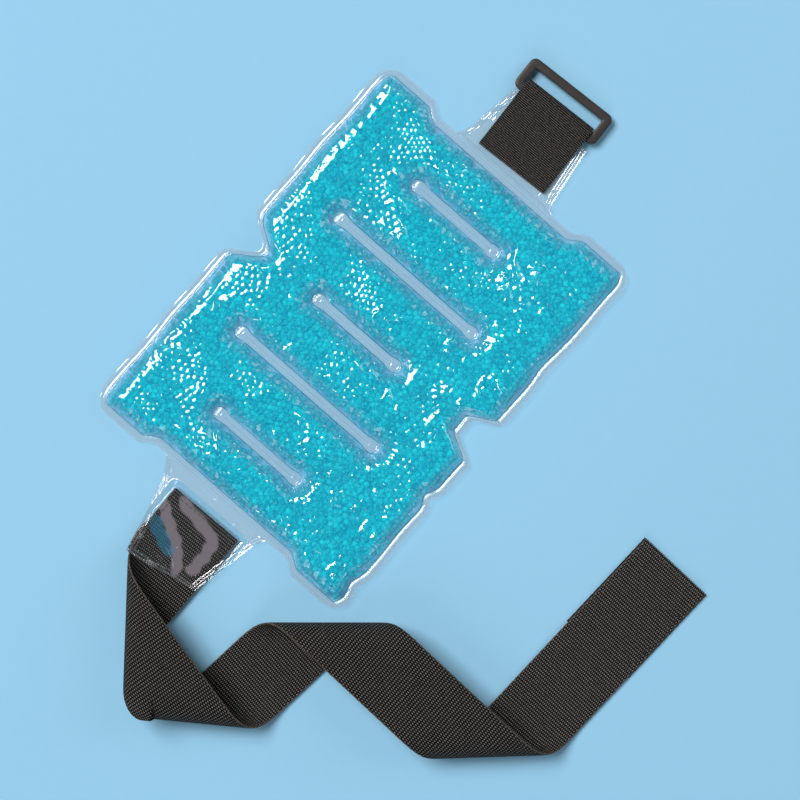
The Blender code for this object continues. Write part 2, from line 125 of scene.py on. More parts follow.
# %% Grid helpers
def smoothstep(value):
    """3 t^2 - 2 t^3, with t held between 0 and 1."""
    value = np.clip(value, 0.0, 1.0)
    return value * value * (3.0 - 2.0 * value)


def rounded_rise(value):
    """A quarter-circle rise from 0 to 1: the square root of 1 - (1 - t)^2."""
    value = np.clip(value, 0.0, 1.0)
    return np.sqrt(1.0 - (1.0 - value) ** 2)


def bell(distance, width):
    """A bell curve, exp(-(distance / width)^2)."""
    return np.exp(-((distance / width) ** 2))


def unit(vectors):
    """Vectors divided by their lengths."""
    return vectors / np.maximum(np.linalg.norm(vectors, axis=-1, keepdims=True), 1e-12)


def grid_quads(index):
    """Faces over a grid of vertex numbers; with rows along X and columns along Y they look up."""
    corners = [index[:-1, :-1], index[1:, :-1], index[1:, 1:], index[:-1, 1:]]
    return np.stack(corners, axis=-1).reshape(-1, 4)


def grid_normals(points):
    """Unit normals of a grid: the cross product of its slopes along rows and columns."""
    return unit(np.cross(np.gradient(points, axis=0), np.gradient(points, axis=1)))


def make_piece(name, points, faces, materials, uv=None, normals=None, shares=None, slots=None):
    """A smooth mesh object at the origin. It may have a UV map, normals, named values on its points (shares)
    and a material number for each face (slots)."""
    mesh = bpy.data.meshes.new(name)
    mesh.from_pydata(points.tolist(), [], faces)
    for material in materials:
        mesh.materials.append(material)
    mesh.shade_smooth()
    if slots is not None:
        mesh.polygons.foreach_set("material_index", np.asarray(slots, dtype=np.int32))
    if uv is not None:
        corner = np.empty(len(mesh.loops), dtype=np.int32)
        mesh.loops.foreach_get("vertex_index", corner)
        layer = mesh.uv_layers.new(name="UVMap")
        layer.data.foreach_set("uv", uv[corner].astype(np.float32).ravel())
    for label, values in (shares or {}).items():
        attribute = mesh.attributes.new(label, "FLOAT", "POINT")
        attribute.data.foreach_set("value", values.astype(np.float32))
    if normals is not None:
        mesh.normals_split_custom_set_from_vertices(normals.tolist())
    piece = bpy.data.objects.new(name, mesh)
    bpy.context.scene.collection.objects.link(piece)
    return piece


def shell_faces(rows, columns):
    """Faces of a closed sheet: an upper grid, a lower grid after it, and the border between them."""
    upper = np.arange(rows * columns).reshape(rows, columns)
    lower = upper + rows * columns
    rim = np.concatenate([upper[:, 0], upper[-1, 1:], upper[-2::-1, -1], upper[0, -2:0:-1]])
    ahead = np.roll(rim, -1)
    border = np.stack([ahead, rim, rim + rows * columns, ahead + rows * columns], axis=-1)
    top, bottom = grid_quads(upper), grid_quads(lower)[:, ::-1]
    sides = np.repeat([0, 1, 2], [len(top), len(bottom), len(border)])
    return np.concatenate([top, bottom, border]).tolist(), sides


# %% [markdown]
# ## Material helpers
# Each finish is a node material. The helper adds a node and fills its inputs in one call,
# so a material reads as a short recipe. Effects that several finishes share are node groups.

# %% Node helpers
def add(tree, kind, inputs=None, **settings):
    """Adds a node: settings are its own options, and inputs are values or links for its sockets."""
    node = tree.nodes.new(kind)
    for key, value in settings.items():
        setattr(node, key, value)
    for key, value in (inputs or {}).items():
        if isinstance(value, bpy.types.NodeSocket):
            tree.links.new(value, node.inputs[key])
        else:
            node.inputs[key].default_value = value
    return node


def math_node(tree, operation, first, second=0.0):
    return add(tree, "ShaderNodeMath", {0: first, 1: second}, operation=operation).outputs[0]


def times(tree, first, second):
    return math_node(tree, "MULTIPLY", first, second)


def plus(tree, first, second):
    return math_node(tree, "ADD", first, second)


def point_value(tree, label):
    """A value that a piece carries on its points; 0 where the piece has none."""
    return add(tree, "ShaderNodeAttribute", attribute_name=label).outputs["Fac"]


def connect(tree, shader, bump, **sources):
    """Links sources to the shader's inputs; bump is a height with its strength and distance."""
    height, strength, distance = bump
    node = add(tree, "ShaderNodeBump", {"Height": height, "Strength": strength, "Distance": distance})
    tree.links.new(node.outputs["Normal"], shader.inputs["Normal"])
    for key, source in sources.items():
        tree.links.new(source, shader.inputs[key.replace("_", " ")])


def mix_colour(tree, share, first, second):
    """Mixes two colours; the colour sockets of the mix node are numbers 6 and 7."""
    return add(tree, "ShaderNodeMix", {0: share, 6: first, 7: second}, data_type="RGBA").outputs[2]


def new_material(name, **shader_inputs):
    material = bpy.data.materials.new(name)
    material.use_nodes = True
    tree = material.node_tree
    shader = tree.nodes["Principled BSDF"]
    for key, value in shader_inputs.items():
        shader.inputs[key.replace("_", " ")].default_value = value
    return material, tree, shader


def new_group(name, inputs, outputs):
    """A node group with named float or vector inputs and float or colour outputs."""
    group = bpy.data.node_groups.new(name, "ShaderNodeTree")
    for label, kind, value in inputs:
        socket = group.interface.new_socket(label, in_out="INPUT", socket_type=kind)
        if value is not None:
            socket.default_value = value
    for label, kind in outputs:
        group.interface.new_socket(label, in_out="OUTPUT", socket_type=kind)
    return group, group.nodes.new("NodeGroupInput"), group.nodes.new("NodeGroupOutput")


# %% [markdown]
# ## Shared effects
# Knitted elastic shows short bright stitches in staggered rows. The knit group counts rows along the
# strap and stitches across it, moves every other row by half a stitch, and rounds each stitch off.
# Grain is fine uneven noise, for moulded plastic and for film that isn't perfectly smooth.

# %% Knit and grain groups
def hump(tree, count):
    """A half sine over every whole step of a count: 0 at its ends and 1 in its middle."""
    return math_node(tree, "SINE", times(tree, math_node(tree, "FRACT", count), math.pi))


def build_knit():
    group, source, result = new_group(
        "knit",
        [("Surface", "NodeSocketVector", None), ("Row", "NodeSocketFloat", 0.0018),
         ("Stitch", "NodeSocketFloat", 0.0012)],
        [("Mask", "NodeSocketFloat"), ("Speckle", "NodeSocketFloat")],
    )
    split = add(group, "ShaderNodeSeparateXYZ", {0: source.outputs["Surface"]})
    rows = math_node(group, "DIVIDE", split.outputs[0], source.outputs["Row"])
    half = times(group, math_node(group, "FLOOR", rows), 0.5)
    stitches = math_node(group, "DIVIDE", split.outputs[1], source.outputs["Stitch"])
    across = math_node(group, "POWER", hump(group, plus(group, stitches, half)), 1.6)
    along = math_node(group, "POWER", hump(group, rows), 0.7)
    mask = times(group, across, along)
    surface = source.outputs["Surface"]
    fuzz = add(group, "ShaderNodeTexNoise", {"Vector": surface, "Scale": 1500.0, "Detail": 2.0})
    group.links.new(mask, result.inputs["Mask"])
    group.links.new(fuzz.outputs["Fac"], result.inputs["Speckle"])
    return group


def build_grain():
    group, source, result = new_group(
        "grain", [("Scale", "NodeSocketFloat", 400.0)],
        [("Fine", "NodeSocketFloat"), ("Broad", "NodeSocketFloat")],
    )
    place = add(group, "ShaderNodeTexCoord").outputs["Object"]
    scale = source.outputs["Scale"]
    fine = add(group, "ShaderNodeTexNoise", {"Vector": place, "Scale": scale, "Detail": 4.0})
    coarse = math_node(group, "DIVIDE", scale, 12.0)
    broad = add(group, "ShaderNodeTexNoise", {"Vector": place, "Scale": coarse, "Detail": 2.0})
    group.links.new(fine.outputs["Fac"], result.inputs["Fine"])
    group.links.new(broad.outputs["Fac"], result.inputs["Broad"])
    return group


knit, grain = build_knit(), build_grain()
print("shared effects", knit.name, grain.name)

# %% [markdown]
# ## Clear film and gel
# Soft vinyl is clear and wet-looking: a transmitting surface with low roughness under a glossy coat.
# A real sheet lets nearly all light through to the beads, but a render treats it as a solid shadow caster.
# Shadow rays and diffuse rays, which carry light to a surface, therefore see it as almost absent.

# %% Film and gel materials
SEAM_GREY = (0.50, 0.57, 0.64, 1.0)
GEL_DEEP, GEL_BRIGHT, GEL_PALE = (0.0, 0.28, 0.43, 1.0), (0.03, 1.0, 1.0, 1.0), (0.15, 0.36, 0.48, 1.0)
# Colour of the beads' painted glow, which stands in for light scattered inside the gel.
GEL_GLOW = (0.0, 0.62, 0.82, 1.0)
# Scale of the cells that paint highlight spots into the beads' colour.
GEL_CELLS = 640.0


def lets_light_through(tree, shader, shade):
    """Alpha is 1 for the eye and shade for rays that carry light to a surface, so the shadow is faint."""
    rays = add(tree, "ShaderNodeLightPath")
    carrying = math_node(tree, "MAXIMUM", rays.outputs["Is Shadow Ray"], rays.outputs["Is Diffuse Ray"])
    alpha = math_node(tree, "SUBTRACT", 1.0, times(tree, carrying, 1.0 - shade))
    tree.links.new(alpha, shader.inputs["Alpha"])


def build_film(name, clearness, colour, shade):
    """Clear film keeps all its transmission; welded film, two layers melted into one, is a little milky."""
    material, tree, shader = new_material(
        name, IOR=1.40, Transmission_Weight=clearness,
        Coat_Weight=1.0, Coat_Roughness=0.02, Coat_IOR=1.7,
    )
    noise = add(tree, "ShaderNodeGroup", {"Scale": 260.0}, node_tree=grain)
    connect(
        tree, shader, (noise.outputs["Fine"], 0.04, 0.001),
        Base_Color=mix_colour(tree, point_value(tree, "line"), colour, SEAM_GREY),
        Roughness=plus(tree, times(tree, noise.outputs["Broad"], 0.03), 0.002),
    )
    lets_light_through(tree, shader, shade)
    return material


def build_gel():
    """Each bead has its own tint; cells smaller than a bead paint bright highlight spots and darker parts.
    """
    # The emission is a painted glow that stands in for light scattered inside the beads.
    material, tree, shader = new_material(
        "gel_beads", Roughness=0.05, IOR=1.42, Transmission_Weight=0.40,
        Emission_Color=GEL_GLOW, Emission_Strength=0.18,
    )
    place = add(tree, "ShaderNodeTexCoord").outputs["Object"]
    # The cells' bright centres are painted highlights, standing in for light that the clear beads catch.
    cells = add(tree, "ShaderNodeTexVoronoi", {"Vector": place, "Scale": GEL_CELLS})
    near = math_node(tree, "POWER", math_node(tree, "SUBTRACT", 1.0, cells.outputs["Distance"]), 3.0)
    share = plus(tree, times(tree, point_value(tree, "tint"), 0.45), times(tree, near, 1.15))
    deep = mix_colour(tree, share, GEL_DEEP, GEL_BRIGHT)
    colour = mix_colour(tree, point_value(tree, "pale"), deep, GEL_PALE)
    connect(tree, shader, (near, 0.8, 0.0008), Base_Color=colour)
    lets_light_through(tree, shader, 0.25)
    return material


film = build_film("clear_film", 1.0, (0.93, 0.97, 1.0, 1.0), 0.12)
welded = build_film("welded_film", 0.90, (0.92, 0.93, 0.95, 1.0), 0.20)
gel = build_gel()
print("film and gel", film.name, welded.name, gel.name)

# %% [markdown]
# ## Woven and moulded finishes
# The strap, the webbing and the thread are one knit in different sizes and greys; the strap's second side
# is slightly coarser. Where the pocket's film clings to the strap the knit turns grey and smooth.
# Hook tape is a mat of tiny hooks, and the ring is satin moulded plastic with a faint grain.

# %% Fabric and ring materials
CLING_GREY = (0.200, 0.172, 0.196, 1.0)
WET_BLUE = (0.02, 0.22, 0.36, 1.0)
RING_DARK, RING_LIGHT = (0.022, 0.019, 0.018, 1.0), (0.050, 0.042, 0.039, 1.0)


def build_ribbed(name, dark, light, row, stitch, narrow=3.2):
    """Light stitches over dark gaps; a higher narrow makes the stitches smaller."""
    material, tree, shader = new_material(name, Roughness=0.7, Specular_IOR_Level=0.06)
    surface = add(tree, "ShaderNodeUVMap", uv_map="UVMap").outputs["UV"]
    sizes = {"Surface": surface, "Row": row, "Stitch": stitch}
    pattern = add(tree, "ShaderNodeGroup", sizes, node_tree=knit)
    speckle = pattern.outputs["Speckle"]
    mottled = times(tree, pattern.outputs["Mask"], plus(tree, speckle, 0.42))
    cloth = mix_colour(tree, math_node(tree, "POWER", mottled, narrow), (*dark, 1.0), (*light, 1.0))
    cling = point_value(tree, "cling")
    under_film = mix_colour(tree, cling, cloth, CLING_GREY)
    colour = mix_colour(tree, times(tree, point_value(tree, "wet"), speckle), under_film, WET_BLUE)
    height = times(tree, mottled, math_node(tree, "SUBTRACT", 1.0, cling))
    connect(tree, shader, (height, 0.9, 0.0005), Base_Color=colour)
    return material


def build_hook_tape(name, dark, light, size):
    """A mat of hooks: uneven cells of one size, broken up by noise."""
    material, tree, shader = new_material(name, Roughness=0.9, Specular_IOR_Level=0.06)
    surface = add(tree, "ShaderNodeUVMap", uv_map="UVMap").outputs["UV"]
    hooks = add(tree, "ShaderNodeTexVoronoi", {"Vector": surface, "Scale": 1.0 / size, "Randomness": 0.8})
    fuzz = add(tree, "ShaderNodeTexNoise", {"Vector": surface, "Scale": 1.3 / size, "Detail": 3.0})
    near = math_node(tree, "SUBTRACT", 1.0, hooks.outputs["Distance"])
    height = times(tree, math_node(tree, "POWER", near, 2.5), fuzz.outputs["Fac"])
    colour = mix_colour(tree, times(tree, height, 1.6), (*dark, 1.0), (*light, 1.0))
    connect(tree, shader, (height, 1.0, 0.0006), Base_Color=colour)
    return material


def build_plastic():
    material, tree, shader = new_material("ring_satin", Specular_IOR_Level=0.4)
    noise = add(tree, "ShaderNodeGroup", {"Scale": 900.0}, node_tree=grain)
    connect(
        tree, shader, (noise.outputs["Fine"], 0.15, 0.0004),
        Base_Color=mix_colour(tree, noise.outputs["Broad"], RING_DARK, RING_LIGHT),
        Roughness=plus(tree, times(tree, noise.outputs["Fine"], 0.16), 0.27),
    )
    return material


ribbed = build_ribbed("ribbed_elastic", (0.0030, 0.0029, 0.0029), (0.37, 0.355, 0.345), 0.0019, 0.0013)
selvage = build_ribbed("selvage", (0.05, 0.040, 0.034), (0.30, 0.24, 0.20), 0.0012, 0.0006, narrow=1.5)
plush = build_ribbed("plush_elastic", (0.0025, 0.0025, 0.0025), (0.31, 0.295, 0.285), 0.0021, 0.0014)
loop_pile = build_ribbed(
    "loop_pile", (0.0020, 0.0020, 0.0020), (0.40, 0.375, 0.355), 0.00125, 0.00092, narrow=3.8
)
hook_tape = build_hook_tape("hook_tape", (0.010, 0.010, 0.010), (0.060, 0.056, 0.054), 0.0014)
thread = build_ribbed("thread", (0.10, 0.09, 0.085), (0.40, 0.36, 0.33), 0.0006, 0.0006, narrow=1.7)
plastic = build_plastic()
print("finishes", *[one.name for one in (ribbed, selvage, plush, loop_pile, hook_tape, thread, plastic)])

# %% [markdown]
# ## The pad's outline
# The pad is die-cut: round corners that stand out as small ears, and a notch at the waist on each long side.
# The notch on the side of positive Y is a rounded V, and the other one has a flat bottom.
# The edge is also pulled in a little where the film puckered as it was welded.

# %% Outline
CORNER_RADIUS = 0.014
EAR = 0.006
EAR_FROM, EAR_BLEND = 0.052, 0.012
NOTCH_DEPTH = 0.017
NOTCH_REACH = 0.0175
NOTCH_FLAT = 0.0045
WAVE = 0.0006
# Puckers in the lower edge: place along the pad, depth and reach
PUCKERS = ((-0.047, 0.0038, 0.0050), (-0.117, 0.0024, 0.0060), (0.058, 0.0010, 0.0090))


def side_reach(px, side):
    """Half-width at px: the corner's arc, a raised-cosine notch and a gentle wave are taken off."""
    over = np.clip(np.abs(px) - (HALF_LENGTH - CORNER_RADIUS), 0.0, CORNER_RADIUS)
    corner = CORNER_RADIUS - np.sqrt(CORNER_RADIUS**2 - over**2)
    flat = NOTCH_FLAT if side < 0 else 0.0
    near = np.clip((np.abs(px) - flat) / (NOTCH_REACH - flat), 0.0, 1.0)
    notch = NOTCH_DEPTH * 0.5 * (1.0 + np.cos(math.pi * near))
    wave = WAVE * (1.0 + np.sin(px * 95.0 + side) * np.cos(px * 41.0))
    pucker = sum(depth * bell(px - place, reach) for place, depth, reach in PUCKERS)
    return HALF_WIDTH - corner - notch - wave - (pucker if side < 0 else 0.0)


def end_inset(py):
    """How far the short edge lies inside the ears at py: the ear's depth, fading through a smooth step."""
    return EAR * (1.0 - smoothstep((np.abs(py) - EAR_FROM) / EAR_BLEND))


print("waist", round(float(side_reach(0.0, 1) + side_reach(0.0, -1)), 4))

# %% [markdown]
# ## Welds and fill
# The two films are welded round the rim and along five slots, and the gel pushes them apart in between.
# The height of the film follows the distance to the nearest weld: steep at first, then nearly flat.
# Slow waves and short puckers beside the welds make it a little uneven.
# Slots end in small round heads, which stop the weld from tearing.

# %% Distance from the welds and the film's heights
RIM = 0.0050
SLOT_HALF, SLOT_HEAD = 0.0032, 0.0042
SLOT_LONG, SLOT_SHORT = 0.114, 0.069
SLOT_Y = 0.005
HEAD_RUN = 0.006
CROWN_RUN, BELLY_RUN = 0.013, 0.009
FLOOR_GAP = 0.0003
WELD_HALF = 0.00045
CROWN_MARGIN = 0.0012
CROWN = pad_high[2] - CROWN_MARGIN - WELD_Z
SWELL, SWELL_ROOM = 0.0005, 0.0008
PUCKER_HEIGHT, PUCKER_PLACE, PUCKER_BAND = 0.00042, 0.0050, 0.0034


def slot_end(line):
    """Distance from a slot's middle to the centre of its round head; long and short slots alternate."""
    return 0.5 * (SLOT_LONG if line % 2 else SLOT_SHORT) - SLOT_HEAD


def slot_distance(px, py, line):
    """Distance from a slot's edge: to its middle line, less a half-width that grows at the heads."""
    line_x = line * PITCH - HALF_LENGTH
    along = np.abs(py - SLOT_Y)
    past = np.maximum(along - slot_end(line - 1), 0.0)
    half = SLOT_HALF + (SLOT_HEAD - SLOT_HALF) * smoothstep((along - slot_end(line - 1)) / HEAD_RUN + 1.0)
    return np.hypot(px - line_x, past) - half


def weld_distance(px, py):
    """Distance into the gel from the nearest weld; negative on the weld itself."""
    side = np.where(py > 0.0, side_reach(px, 1), side_reach(px, -1))
    rim = np.minimum(side - np.abs(py), HALF_LENGTH - end_inset(py) - np.abs(px)) - RIM
    slots = np.min([slot_distance(px, py, line) for line in range(1, SEGMENTS)], axis=0)
    return np.minimum(rim, slots)


def swell(px, py):
    """Slow unevenness of the fill, the sum of three long waves."""
    waves = np.sin(px * 61.0 + py * 37.0) + np.sin(px * 29.0 - py * 83.0 + 1.0) + np.sin(py * 47.0 + 2.0)
    return SWELL * waves


def edge_puckers(px, py, depth):
    """Short dents where a weld drew the film in: two bent waves, kept to a band beside every weld."""
    band = bell(depth - PUCKER_PLACE, PUCKER_BAND)
    waves = np.sin(px * 880.0 + 3.0 * np.sin(px * 130.0 + py * 90.0))
    return band * (waves + np.sin(py * 810.0 + 3.0 * np.sin(py * 120.0 - px * 80.0)))


def film_height(px, py):
    """The upper film: a power curve of the distance from the welds, with swell and puckers on top."""
    depth = weld_distance(px, py)
    rise = 1.0 - (1.0 - np.clip(depth / CROWN_RUN, 0.0, 1.0)) ** 2.5
    uneven = swell(px, py) * rise + PUCKER_HEIGHT * edge_puckers(px, py, depth)
    return WELD_Z + WELD_HALF + (CROWN - WELD_HALF - SWELL_ROOM + uneven) * rise


def belly_height(px, py):
    rise = rounded_rise(weld_distance(px, py) / BELLY_RUN)
    return FLOOR_GAP + (WELD_Z - WELD_HALF - FLOOR_GAP) * (1.0 - rise)


print("crown", round(float(film_height(0.5 * PITCH, 0.02)), 4))

# %% [markdown]
# ## Where the beads lie
# Loose beads settle into a nearly hexagonal packing. The pattern is a hexagonal lattice,
# bent by slow waves and shaken a little, so that rows stay visible but never line up for long.
# Keeping the lattice in a table makes it cheap to find the beads near any point of the film.

# %% Bead lattice
rng = np.random.default_rng(11)
BEAD = 0.0037
BEAD_RADIUS = 0.5 * BEAD
ROW_STEP = BEAD * math.sqrt(3.0) / 2.0
SHAKE = 0.00042
BEAD_EDGE = 0.0005
FIRST_I, COUNT_I = -41, 83
FIRST_J, COUNT_J = -36, 73


def lattice_bend(px, py):
    """Slow waves that bend the lattice's rows."""
    bend_x = 0.0021 * np.sin(py * 92.0 + 1.3) + 0.0012 * np.sin((px + py) * 150.0)
    bend_y = 0.0020 * np.sin(px * 78.0 + 0.6) + 0.0011 * np.cos((px - py) * 130.0)
    return bend_x, bend_y


def lattice_places(shift_x, shift_y):
    """Lattice points as px, py tables; three fixed-point steps undo the bend."""
    i, j = np.meshgrid(np.arange(COUNT_I) + FIRST_I, np.arange(COUNT_J) + FIRST_J, indexing="ij")
    flat_x = (i + 0.5 * (j % 2)) * BEAD + shift_x
    flat_y = j * ROW_STEP + shift_y
    px, py = flat_x.copy(), flat_y.copy()
    for _ in range(3):
        bend_x, bend_y = lattice_bend(px, py)
        px, py = flat_x - bend_x, flat_y - bend_y
    return px + rng.normal(0.0, SHAKE, px.shape), py + rng.normal(0.0, SHAKE, py.shape)


top_x, top_y = lattice_places(0.0, 0.0)
top_held = weld_distance(top_x, top_y) > BEAD_EDGE
top_push = rng.uniform(0.4, 1.0, top_x.shape)
print("beads under the film", int(top_held.sum()))

# %% [markdown]
# ## Film relief
# Where the film is drawn tight each bead shows through as a small dome, and elsewhere it stays smooth.
# Between the domes run short sharp wrinkles, which catch the light as bright worm-like lines.
# Each wrinkle is a bent stroke: a bell curve across and a flat-topped bell along.

# %% Domes and wrinkles
DOME, DOME_REACH = 0.00046, 1.12
WRINKLES, CLUSTERS = 340, 48
WRINKLE_TURN = math.radians(44.0)


def domes(px, py):
    """The highest dome at each point over the nine nearest beads: (1 - (distance / reach)^2), to the 1.5."""
    bend_x, bend_y = lattice_bend(px, py)
    j_near = np.rint((py + bend_y) / ROW_STEP).astype(int)
    best = np.zeros_like(px)
    for dj in (-1, 0, 1):
        j = j_near + dj
        i_near = np.rint((px + bend_x) / BEAD - 0.5 * (j % 2)).astype(int)
        for di in (-1, 0, 1):
            i = np.clip(i_near + di - FIRST_I, 0, COUNT_I - 1)
            row = np.clip(j - FIRST_J, 0, COUNT_J - 1)
            away = (px - top_x[i, row]) ** 2 + (py - top_y[i, row]) ** 2
            dome = (1.0 - away / (DOME_REACH * BEAD_RADIUS) ** 2) * (top_held * top_push)[i, row]
            best = np.maximum(best, dome)
    return best**1.5


def tightness(px, py):
    """Where the film is drawn tight over the beads, from 0 to 1, in drifting patches."""
    drift = np.sin(px * 118.0 + 2.0 * np.sin(py * 60.0)) + np.sin(py * 104.0 - px * 52.0 + 0.7)
    return smoothstep(0.64 + 0.42 * drift)


def wrinkles(px, py):
    """Short ridges gathered in clusters; their direction wanders round the pad's diagonal."""
    clusters = rng.uniform((-0.125, -0.088), (0.122, 0.092), (CLUSTERS, 2))
    home = clusters[rng.integers(0, len(clusters), WRINKLES)]
    centre = home + rng.normal(0.0, 0.0065, (WRINKLES, 2))
    turn = WRINKLE_TURN + rng.normal(0.0, 0.6, WRINKLES)
    length = rng.uniform(0.0012, 0.0068, WRINKLES)
    width = rng.uniform(0.0008, 0.0019, WRINKLES)
    height = width * rng.uniform(0.18, 0.55, WRINKLES)
    bend = rng.normal(0.0, 60.0, WRINKLES)
    relief = np.zeros_like(px)
    for k in range(WRINKLES):
        cos_t, sin_t = math.cos(turn[k]), math.sin(turn[k])
        dx, dy = px - centre[k, 0], py - centre[k, 1]
        along = dx * cos_t + dy * sin_t
        across = -dx * sin_t + dy * cos_t - 0.5 * bend[k] * along**2
        relief += height[k] * np.exp(-((across / width[k]) ** 2) - (along / length[k]) ** 4)
    return relief


# %% [markdown]
# ## Building the pad's film
# One fine grid covers the upper film and a coarser one the lower film; they meet at the rim.
# Rows crowd together near the rim, where two weld lines run round the pad.
# The pad bends at every weld line, and a piece can bend at one joint only,
# so the grid is cut in the middle of the segments, with shared normals so that no seam shows.

# %% Pad grid
FINE = 0.00064
EDGE_BAND, EDGE_STEP = 0.0066, 0.0004
BOTTOM_SHARE = 4
OPEN_RUN = 0.0016
# Weld lines and head rings: distance outside the gel or radius, width and height
OUTER_LINE = (0.0039, 0.00045, 0.00016)
INNER_LINE = (0.0009, 0.00055, 0.00034)
HEAD_RING = (0.0016, 0.00045, 0.00022)
TINT_LINE = (0.0031, 0.00028)
MILKY_DEPTH = 0.0003


def crowded(length, band, fine, middle_count):
    """Places from 0 to length with evenly fine steps inside a band at both ends."""
    edge = np.linspace(0.0, band, int(round(band / fine)) + 1)
    middle = np.linspace(band, length - band, middle_count)[1:-1]
    return np.concatenate([edge, middle, length - edge[::-1]])


def pad_grid():
    """px and py over the pad: a column spans the outline, and the ends are pushed in between the ears."""
    length, width = 2.0 * HALF_LENGTH, 2.0 * HALF_WIDTH
    columns = crowded(length, EDGE_BAND, EDGE_STEP, int(length / FINE)) - HALF_LENGTH
    lower, upper = side_reach(columns, -1), side_reach(columns, 1)
    middle_count = int(width / FINE) // BOTTOM_SHARE * BOTTOM_SHARE + 3
    shares = crowded(width, EDGE_BAND, EDGE_STEP, middle_count) / width
    last = (len(shares) - 1) // BOTTOM_SHARE * BOTTOM_SHARE
    shares = shares[: last + 1] / shares[last]
    py = -lower[:, None] + (lower + upper)[:, None] * shares[None, :]
    px = np.repeat(columns[:, None], len(shares), axis=1)
    pushed = np.clip((np.abs(px) - (HALF_LENGTH - PITCH)) / PITCH, 0.0, 1.0)
    return px - np.sign(px) * end_inset(py) * pushed, py


def rim_lines(px, py, depth):
    """Two raised weld lines near the rim, bell curves of the distance to the gel; the outer one fades."""
    fading = 0.5 + 0.5 * np.sin(px * 230.0 + 1.5 * np.sin(py * 140.0)) * np.sin(py * 190.0 + 0.8)
    return fading * bell(depth + OUTER_LINE[0], OUTER_LINE[1]), bell(depth + INNER_LINE[0], INNER_LINE[1])


def head_rings(px, py):
    """A small pressed ring in each slot's round head, as a bell curve of the distance from its circle."""
    rings = np.zeros_like(px)
    for line in range(1, SEGMENTS):
        for side in (-1.0, 1.0):
            away = np.hypot(px - (line * PITCH - HALF_LENGTH), py - SLOT_Y - side * slot_end(line - 1))
            rings = np.maximum(rings, bell(away - HEAD_RING[0], HEAD_RING[1]))
    return rings


grid_x, grid_y = pad_grid()
depth = weld_distance(grid_x, grid_y)
open_film = smoothstep(depth / OPEN_RUN)
relief = DOME * (0.12 + 0.88 * tightness(grid_x, grid_y)) * domes(grid_x, grid_y)
relief += wrinkles(grid_x, grid_y) * (0.35 + 0.65 * open_film)
outer_line, inner_line = rim_lines(grid_x, grid_y, depth)
upper_z = film_height(grid_x, grid_y) + relief * open_film
upper_z = upper_z + OUTER_LINE[2] * outer_line + INNER_LINE[2] * inner_line
upper_z += HEAD_RING[2] * head_rings(grid_x, grid_y)
rim_tint = np.clip(0.7 * bell(depth + TINT_LINE[0], TINT_LINE[1]) + 0.35 * inner_line, 0.0, 1.0)
lower_z = belly_height(grid_x, grid_y)[:, ::BOTTOM_SHARE]
pad_upper = np.stack([grid_x + PAD_X, grid_y + PAD_Y, upper_z], axis=-1)
low_x, low_y = grid_x[:, ::BOTTOM_SHARE] + PAD_X, grid_y[:, ::BOTTOM_SHARE] + PAD_Y
pad_lower = np.stack([low_x, low_y, lower_z], axis=-1)
upper_normals, lower_normals = grid_normals(pad_upper), -grid_normals(pad_lower)
print("film grid", grid_x.shape, "highest", round(float(upper_z.max()), 4))

# %% Pad film pieces
def film_section(name, first, last):
    """The film between two columns: upper and lower grids, the long edges, and an end where there is one."""
    top, low = pad_upper[first:last + 1], pad_lower[first:last + 1]
    upper = np.arange(top[..., 0].size).reshape(top.shape[:2])
    lower = np.arange(low[..., 0].size).reshape(low.shape[:2]) + upper.size
    near = np.stack([lower[:-1, 0], lower[1:, 0], upper[1:, 0], upper[:-1, 0]], axis=-1)
    far = np.stack([lower[1:, -1], lower[:-1, -1], upper[:-1, -1], upper[1:, -1]], axis=-1)
    faces = np.concatenate([grid_quads(upper), grid_quads(lower)[:, ::-1], near, far]).tolist()
    for at_end, row, flip in ((first == 0, 0, 1), (last == len(pad_upper) - 1, -1, -1)):
        if at_end:
            shared = [upper[row, k::BOTTOM_SHARE][: lower.shape[1] - 1] for k in range(BOTTOM_SHARE)]
            end = upper[row, BOTTOM_SHARE::BOTTOM_SHARE]
            strip = np.stack([lower[row, 1:], lower[row, :-1], *shared, end], axis=-1)
            faces += strip[:, ::flip].tolist()
    points = np.concatenate([top.reshape(-1, 3), low.reshape(-1, 3)])
    normals = np.concatenate([
        upper_normals[first:last + 1].reshape(-1, 3), lower_normals[first:last + 1].reshape(-1, 3)
    ])
    on_weld = depth[first:last + 1] < MILKY_DEPTH
    grids = (on_weld, on_weld[:, ::BOTTOM_SHARE])
    milky = np.concatenate([(grid[1:, 1:] & grid[:-1, :-1]).ravel() for grid in grids])
    slots = np.ones(len(faces), dtype=int)
    slots[: milky.size] = milky
    shares = {"line": np.concatenate([rim_tint[first:last + 1].ravel(), np.zeros(low[..., 0].size)])}
    piece = make_piece(name, points, faces, [film, welded], normals=normals, shares=shares, slots=slots)
    return piece


column_x = grid_x[:, grid_x.shape[1] // 2] + PAD_X
cuts = [0]
for segment in range(2, SEGMENTS):
    cuts.append(int(np.argmin(np.abs(column_x - (PAD_X - HALF_LENGTH + (segment - 0.5) * PITCH)))))
cuts.append(len(column_x) - 1)


def stands_for(fold):
    """The segments that a piece replaces: its own, and for the last piece also the one after it."""
    return (fold, fold + 1) if fold == SEGMENTS - 1 else (fold,)


def bend_at(piece):
    """Bakes the piece's placement into its points."""
    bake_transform(piece)


for fold in range(1, SEGMENTS):
    section = film_section(f"pad_film_{fold}", cuts[fold - 1], cuts[fold])
    bend_at(section)
    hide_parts(*[f"film_{side}_{k}" for side in ("top", "bottom") for k in stands_for(fold)])
    print(section.name, len(section.data.polygons), "faces")

